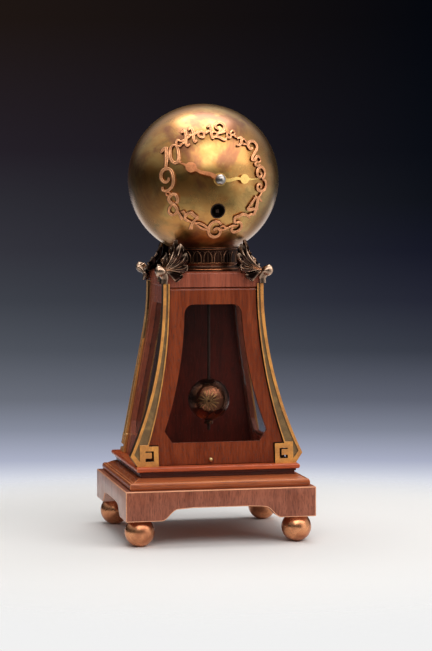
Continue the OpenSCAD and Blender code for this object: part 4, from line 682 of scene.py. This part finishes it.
# Each stroke: points in hundredths of the ring's radius from the ball's axis, then three widths.
ring_radius, ring_thick, off_ball = 0.0376, 0.0015, 0.00005
ring_strokes = [
    # numeral 12
    ([[-18,108], [-13,111], [-10,114]], (2.5, 5, 4.5)),
    ([[-10,115], [-10,104], [-11,93], [-10,85], [-4,88]], (5, 6.5, 2.5)),
    ([[7,106], [4,105], [0,109], [3,115], [12,118], [19,112], [18,104], [9,98], [2,94]], (4.5, 6, 5)),
    ([[2,94], [10,96], [21,99]], (2.5, 4.5, 2.5)),
    ([[2,94], [-2,89], [-4,86]], (4.5, 4, 3)),
    ([[-4,87], [4,87], [12,83], [17,82], [22,87]], (3, 6, 2.5)),
    ([[-10,97], [-4,98], [3,96]], (3, 3.5, 3)),
    # numeral 1
    ([[44,84], [49,86], [55,87]], (2.5, 4.5, 4.5)),
    ([[55,87], [53,80], [49,72], [41,70]], (5, 6, 3)),
    ([[51,76], [57,73], [62,73], [68,70]], (3, 4.5, 3.5)),
    ([[55,82], [61,83], [64,78], [69,76]], (2.5, 4, 3)),
    # numeral 2
    ([[78,66], [74,63], [69,65], [68,72], [73,78], [82,79], [89,72], [88,63], [81,54], [75,46],
        [74,39]], (4.5, 6.5, 5)),
    ([[74,40], [81,41], [86,47], [92,47], [96,40]], (4.5, 6, 2.5)),
    ([[96,40], [91,36], [84,36], [81,31], [86,28], [93,30], [95,25]], (2.5, 4.5, 3)),
    # numeral 3
    ([[94,15], [96,10], [93,5], [87,7], [85,15], [89,23], [97,26], [104,19], [104,9], [98,1]], (4.5, 6, 4.5)),
    ([[98,1], [105,-2], [108,-11], [104,-21], [95,-24], [87,-21], [86,-13], [91,-9], [95,-13],
        [94,-18]], (4.5, 6, 4)),
    ([[98,-24], [95,-30], [90,-36]], (3.5, 4, 3.5)),
    # numeral 4
    ([[84,-34], [76,-46], [64,-62]], (5, 5.5, 4.5)),
    ([[64,-62], [73,-62], [81,-61], [92,-61]], (4.5, 6.5, 3)),
    ([[87,-35], [88,-47], [86,-60], [83,-73]], (6, 8.5, 6.5)),
    ([[83,-73], [76,-72], [70,-74], [65,-74]], (5, 5, 3)),
    ([[94,-31], [91,-37], [96,-43], [100,-46]], (3.5, 4.5, 2.5)),
    # numeral 5
    ([[37,-78], [46,-76], [55,-72], [65,-74], [74,-80]], (5, 6.5, 3.5)),
    ([[38,-78], [38,-84], [39,-90]], (5.5, 5.5, 5.5)),
    ([[39,-90], [48,-88], [55,-92], [56,-101], [49,-107], [40,-109], [34,-104], [37,-99]], (3.5, 6.5, 5)),
    ([[7,-99], [15,-96], [22,-101], [30,-98], [38,-95], [48,-96]], (3, 4.5, 3)),
    ([[10,-102], [17,-104], [22,-101], [18,-97]], (2.5, 4, 2.5)),
    # numeral 6
    ([[10,-93], [4,-88], [-5,-87], [-13,-93], [-15,-103], [-12,-113], [-2,-119], [7,-117], [11,-109],
        [6,-102], [-1,-101], [-4,-105]], (4.5, 6.5, 4.5)),
    ([[-47,-89], [-37,-90], [-27,-94], [-15,-102]], (3, 5, 3.5)),
    ([[-45,-91], [-36,-97], [-27,-102], [-15,-104]], (2.5, 4.5, 3)),
    # numeral 7
    ([[-65,-79], [-62,-71], [-54,-69], [-48,-74], [-40,-78]], (3, 7, 5)),
    ([[-40,-78], [-46,-84], [-50,-92], [-51,-103]], (5, 6, 8)),
    ([[-81,-64], [-76,-72], [-70,-82]], (3.5, 4.5, 5.5)),
    ([[-75,-67], [-69,-66], [-66,-73], [-65,-80], [-59,-85], [-49,-88]], (3, 5, 3)),
    # numeral 8
    ([[-84,-49], [-82,-41], [-87,-31], [-94,-31], [-99,-39], [-95,-47], [-87,-53], [-82,-61], [-83,-69],
        [-89,-73], [-96,-68], [-96,-58], [-92,-51], [-89,-46]], (6, 6, 3.5)),
    ([[-100,-34], [-104,-30], [-103,-26], [-98,-26], [-97,-30], [-99,-34]], (3, 3, 3)),
    # numeral 9
    ([[-99,4], [-101,-3], [-107,-6], [-113,1], [-113,12], [-107,21], [-98,21], [-93,11], [-91,-4],
        [-94,-15], [-102,-23], [-110,-22], [-111,-15]], (4.5, 6.5, 4.5)),
    ([[-105,22], [-104,25], [-105,28]], (3.5, 3.5, 3.5)),
    # numeral 10
    ([[-112,54], [-107,61], [-101,66]], (2.5, 5.5, 5)),
    ([[-101,67], [-102,53], [-103,39], [-105,22]], (5.5, 7, 5)),
    ([[-84,71], [-89,70], [-94,63], [-96,49], [-93,38], [-87,34], [-81,39], [-80,52], [-81,65],
        [-85,72]], (3, 7, 4.5)),
    ([[-84,36], [-79,35], [-75,38]], (3.5, 4, 2)),
    # numeral 11
    ([[-71,96], [-66,99], [-63,103]], (2.5, 5, 4.5)),
    ([[-63,103], [-62,90], [-64,79], [-63,69], [-56,73]], (5, 6.5, 2.5)),
    ([[-56,101], [-53,105], [-49,107]], (2.5, 5, 4.5)),
    ([[-49,107], [-47,96], [-48,86], [-47,77], [-41,81]], (5, 6.5, 2.5)),
    ([[-63,85], [-57,87], [-54,91], [-48,91]], (3, 4.5, 3)),
    ([[-73,78], [-68,80], [-63,82]], (2.5, 4.5, 3)),
    # link from ten to eleven
    ([[-81,67], [-82,76], [-78,81], [-73,78]], (3, 4.5, 3)),
    ([[-80,69], [-76,68], [-73,72], [-68,75], [-64,76]], (3, 4, 3)),
    # link from eleven to twelve
    ([[-48,92], [-42,95], [-38,98], [-34,97]], (3, 4.5, 3)),
    ([[-36,97], [-38,91], [-34,87], [-28,87], [-26,93], [-29,98], [-35,98]], (4, 4.5, 4)),
    ([[-27,97], [-22,96], [-17,99], [-11,100]], (3, 4.5, 3)),
    # link from twelve to one
    ([[20,101], [23,96], [22,90], [26,86], [30,88], [30,94], [26,96]], (3, 4.5, 3)),
    ([[30,91], [36,92], [40,89], [46,86]], (3, 4.5, 3)),
    ([[30,94], [33,99], [38,101], [40,96], [37,92]], (2.5, 3.5, 2.5)),
]
# The dark copper shows where the strokes are not bright, as painted shade on their sides and grooves; the bright
# colour is a painted highlight on their backs.
ring_copper = metal_of("numeral copper", (0.2, 0.07, 0.03), (0.1, 0.035, 0.018), 220.0, 0.4, 0.3, 0.42,
    metallic=0.6, rubbed_and_highlight=(1.0, 0.46, 0.21), bump=(0.05, 0.0002))
low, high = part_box("ball_front")
ball_radius = (high.x - low.x) / 2
ball_middle = high.z - ball_radius
grids, bright_places = [], []
for points, widths in ring_strokes:
    line, side, width = stroke_line(np.array(points) * ring_radius / 100, np.array(widths) * ring_radius / 100)
    grid, bright = domed_stroke(line, side, width, ball_radius + off_ball, ring_thick, 1.0, ball_middle)
    grids.append(grid)
    bright_places.append(bright)
numerals = sheet_mesh("chapter ring", grids, bright_places)
finish_mesh("copper_numerals", numerals, [ring_copper], "clock", replaces=["chapter_ring"], sharp=50)

# Winding hole: a thin steel eyelet let into the front of the ball, and behind it the square end of the
# winding arbor, where the key fits. Both are turned steel, coloured dark and dull; on the arbor, deep in the
# hole, the dark is painted shade.

dark_steel = metal_of("dark steel", (0.1, 0.07, 0.055), (0.05, 0.03, 0.025), 60.0, 0.5, 0.3, 0.5)
# On the arbor, deep in the hole, this dark steel is painted shade.
refinish(["winding_eyelet", "winding_arbor"], dark_steel)

# Movement: two brass plates held apart by pillars, with brass wheels between them and in front, and behind
# them the cock that the pendulum's spring hangs from. The anchor, the pinion that carries the minute hand
# and the spring are polished steel. It is hidden in the ball and seen with the cap off.

movement_brass = metal_of("movement brass", (0.72, 0.53, 0.24), (0.42, 0.28, 0.11), 60.0, 0.4, 0.22, 0.36)
bright_steel = metal_of("bright steel", (0.55, 0.53, 0.52), (0.28, 0.25, 0.23), 150.0, 0.4, 0.18, 0.34)
refinish(["plate_front", "plate_back", "pillars", "barrel", "centre_arbor", "minute_wheel", "hour_wheel",
    "third_wheel", "escape_wheel", "suspension_cock"], movement_brass)
refinish(["cannon_pinion", "anchor", "suspension_spring"], bright_steel)

# Hands: a copper minute hand and a gilt hour hand, sawn from sheet and domed with a file. They are pushed on to
# their pipes at the ring's centre, and a small polished steel nut holds them.

hand_copper = metal_of("minute hand copper", (0.95, 0.37, 0.15), (0.55, 0.18, 0.07), 140.0, 0.35, 0.28, 0.42,
    metallic=0.6)
hand_gilt = metal_of("hour hand gilt", (1.0, 0.66, 0.2), (0.7, 0.42, 0.13), 140.0, 0.3, 0.28, 0.42,
    metallic=0.6)
eased_copy("minute_hand", "minute_hand_copper", 0.0002, [hand_copper], "minute_motion")
eased_copy("hour_hand", "hour_hand_gilt", 0.0002, [hand_gilt], "hour_motion")
refinish(["hand_nut"], bright_steel)

# Pendulum: a ball bob of polished copper-brown metal on a dull steel rod, with a brass rating nut coloured
# as brown as the bob. A star of fourteen narrow brass petals is let into the bob's face, turned a little to the
# left.

bob_copper = metal_of("bob copper", (0.27, 0.1, 0.05), (0.1, 0.035, 0.02), 70.0, 0.45, 0.16, 0.3)
star_brass = metal_of("bob star brass", (0.4, 0.23, 0.1), (0.18, 0.09, 0.04), 200.0, 0.5, 0.3, 0.45)
refinish(["bob", "rating_nut"], bob_copper)
refinish(["pendulum_rod"], dark_steel)
petal_count, petal_widths, petal_places = 14, (0.0004, 0.0011, 0.0008), (0.0011, 0.0036, 0.0060, 0.0084)
petal_sunk, petal_thick, petal_groove = 0.0002, 0.0003, 0.6
low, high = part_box("bob")
bob_radius, bob_middle = (high.x - low.x) / 2, np.add(low, high) / 2
petals = []
for k in range(petal_count):
    turn = 2 * math.pi * k / petal_count
    toward = np.array([math.sin(turn), math.cos(turn)])
    line, side, width = stroke_line([toward * place for place in petal_places], petal_widths, 5)
    petal, bright = domed_stroke(line, side, width, bob_radius - petal_sunk, petal_thick, petal_groove, 0.0)
    petals.append(petal)
bob_turn = math.radians(12)
ahead, aside = math.cos(bob_turn), math.sin(bob_turn)
swing_round = np.array([(ahead, aside, 0), (-aside, ahead, 0), (0, 0, 1)])
star = sheet_mesh("bob star", [petal @ swing_round.T + bob_middle for petal in petals])
finish_mesh("bob_star", star, [star_brass], "pendulum", sharp=50)

# Floor: a plain pale sheet under the clock, matt and nearly white. It fades out all round before its edge
# shows, and so runs on into the studio's backdrop.

half, floor_white, fade_from, fade_to = 1.0, 0.84, 0.17, 0.42
floor_mesh = bpy.data.meshes.new("floor")
floor_corners = [(-half, -half, 0), (half, -half, 0), (half, half, 0), (-half, half, 0)]
floor_mesh.from_pydata(floor_corners, [], [(0, 1, 2, 3)])
floor_pale, tree, shader = new_material(
    "pale floor", Base_Color=(floor_white, floor_white, floor_white, 1), Roughness=0.6, Specular_IOR_Level=0.15)
place = add_node(tree, "ShaderNodeTexCoord").outputs["Object"]
away = add_node(tree, "ShaderNodeVectorMath", {0: place}, operation="LENGTH").outputs["Value"]
beyond = add_node(tree, "ShaderNodeBsdfTransparent").outputs[0]
joined = add_node(tree, "ShaderNodeMixShader", {
    0: ramp(tree, away, fade_from, fade_to), 1: shader.outputs[0], 2: beyond})
tree.links.new(joined.outputs[0], tree.nodes["Material Output"].inputs["Surface"])
floor = new_piece("pale_floor", floor_mesh, [floor_pale])

# Studio: a soft box straight above, a broad dim one high in front, a weak one at the right, and a sweep of
# backdrop from white at the floor to near black above. The rest of the room, seen in the metal, is dark, with a
# pale wall at the right and a pale ceiling.


def soft_lamp(name, place, target, size, power, colour):
    """A rectangular lamp of that size, turned to face the target."""
    light = bpy.data.lights.new(name, "AREA")
    light.shape = "RECTANGLE"
    light.size, light.size_y = size
    light.energy = power
    light.color = colour
    lamp = bpy.data.objects.new(name, light)
    bpy.context.scene.collection.objects.link(lamp)
    lamp.location = place
    aim = np.array(target) - np.array(place)
    lamp.rotation_euler = (math.atan2(math.hypot(aim[0], aim[1]), -aim[2]), 0, math.atan2(-aim[0], aim[1]))


soft_lamp("overhead lamp", (0.03, 0.14, 1.35), (0, 0, 0.2), (1.0, 0.7), 11, (1.0, 0.98, 0.95))
soft_lamp("front lamp", (0.4, -1.14, 1.33), (0, 0, 0.25), (2.8, 1.0), 25, (1.0, 0.97, 0.94))
soft_lamp("right lamp", (1.15, -1.1, 0.42), (0, 0, 0.1), (1.1, 1.0), 2.5, (1.0, 0.95, 0.9))
room = bpy.data.worlds.new("studio")
bpy.context.scene.world = room
room.use_nodes = True
tree = room.node_tree
looks = add_node(tree, "ShaderNodeTexCoord").outputs["Generated"]
upward = add_node(tree, "ShaderNodeSeparateXYZ", {0: looks}).outputs["Z"]
# How far a look goes to the camera's right, and back towards the camera.
across = add_node(
    tree, "ShaderNodeVectorMath", {0: looks, 1: (0.977, -0.2134, 0)}, operation="DOT_PRODUCT").outputs["Value"]
backward = add_node(
    tree, "ShaderNodeVectorMath", {0: looks, 1: (-0.2134, -0.977, 0)}, operation="DOT_PRODUCT").outputs["Value"]
# Each stop: how far down the sweep, then the colour at its left and at its right edge.
sweep_stops = [
    (0.03, (0.0130, 0.0080, 0.0065), (0.0015, 0.0022, 0.0040)),
    (0.23, (0.0176, 0.0137, 0.0194), (0.0030, 0.0040, 0.0070)),
    (0.307, (0.0252, 0.0242, 0.0319), (0.0048, 0.0060, 0.0097)),
    (0.384, (0.0331, 0.0331, 0.0437), (0.0080, 0.0091, 0.0185)),
    (0.461, (0.0467, 0.0513, 0.0648), (0.0176, 0.0194, 0.0331)),
    (0.538, (0.0782, 0.0865, 0.1070), (0.0382, 0.0437, 0.0612)),
    (0.614, (0.1441, 0.1559, 0.1912), (0.1095, 0.1195, 0.1589)),
    (0.66, (0.2423, 0.2623, 0.3325), (0.2122, 0.2307, 0.2961)),
    (0.707, (0.4179, 0.4452, 0.5647), (0.4020, 0.4287, 0.5520)),
    (0.737, (0.7011, 0.7305, 0.8148), (0.6867, 0.7157, 0.8000)),
    (0.768, (0.8796, 0.8796, 0.8796), (0.8796, 0.8796, 0.8796))]
sweep_top, sweep_foot = 0.0833, -0.2173
down = ramp(tree, maths(tree, "ARCSINE", upward), sweep_top, sweep_foot, soft=False)
sweeps = []
for edge in (1, 2):
    sweep = add_node(tree, "ShaderNodeValToRGB", {"Fac": down})
    stops = sweep.color_ramp.elements
    stops[0].position, stops[0].color = sweep_stops[0][0], (*sweep_stops[0][edge], 1)
    stops[1].position, stops[1].color = sweep_stops[-1][0], (*sweep_stops[-1][edge], 1)
    for stop in sweep_stops[1:-1]:
        stops.new(stop[0]).color = (*stop[edge], 1)
    sweeps.append(sweep.outputs["Color"])
backdrop = mix(tree, ramp(tree, across, -0.1, 0.1, soft=False), *sweeps)
front_room = ramp(tree, upward, -0.9, -0.05, 0.5, 0.015, soft=False)
right_wall = ramp(tree, across, 0.6, 0.95, 0.0, 0.6)
ceiling = ramp(tree, upward, 0.16, 0.8, 0.0, 0.85, soft=False)
room_seen = maths(tree, "MAXIMUM", maths(tree, "ADD", front_room, right_wall), ceiling)
all_round = mix(tree, ramp(tree, backward, -0.94, -0.7), backdrop, room_seen)
# The metal and the glass see the room all round, the camera only the backdrop, and the rest a plain soft light.
soft_light = ramp(tree, upward, -0.15, 0.1, 0.75, 0.16, soft=False)
seen = add_node(tree, "ShaderNodeLightPath").outputs
by_metal = maths(tree, "MAXIMUM", seen["Is Glossy Ray"], seen["Is Transmission Ray"])
room_light = mix(tree, seen["Is Camera Ray"], mix(tree, by_metal, soft_light, all_round), backdrop)
tree.links.new(room_light, tree.nodes["Background"].inputs["Color"])
bpy.context.scene.view_settings.view_transform = "Standard"

# Camera: the photograph's own viewpoint, worked out from the clock's edges; a long lens 1.7 m away, turned
# 12 degrees to the clock's left and tipped down by 4.

focal_pixels, photo_pixels = 2150, 651
lens = bpy.data.cameras.new("camera")
lens.sensor_fit = "AUTO"
lens.sensor_width = 36.0
lens.lens = focal_pixels / photo_pixels * lens.sensor_width
lens.clip_start, lens.clip_end = 0.01, 100
camera = bpy.data.objects.new("camera", lens)
bpy.context.scene.collection.objects.link(camera)
turn, tip = 0.215, 0.067
aside, distance, eye = -0.01022, 1.717, 0.28175
camera.location = (-aside * math.cos(turn) - distance * math.sin(turn),
    aside * math.sin(turn) - distance * math.cos(turn), eye)
camera.rotation_euler = (math.pi / 2 - tip, 0, -turn)
bpy.context.scene.camera = camera
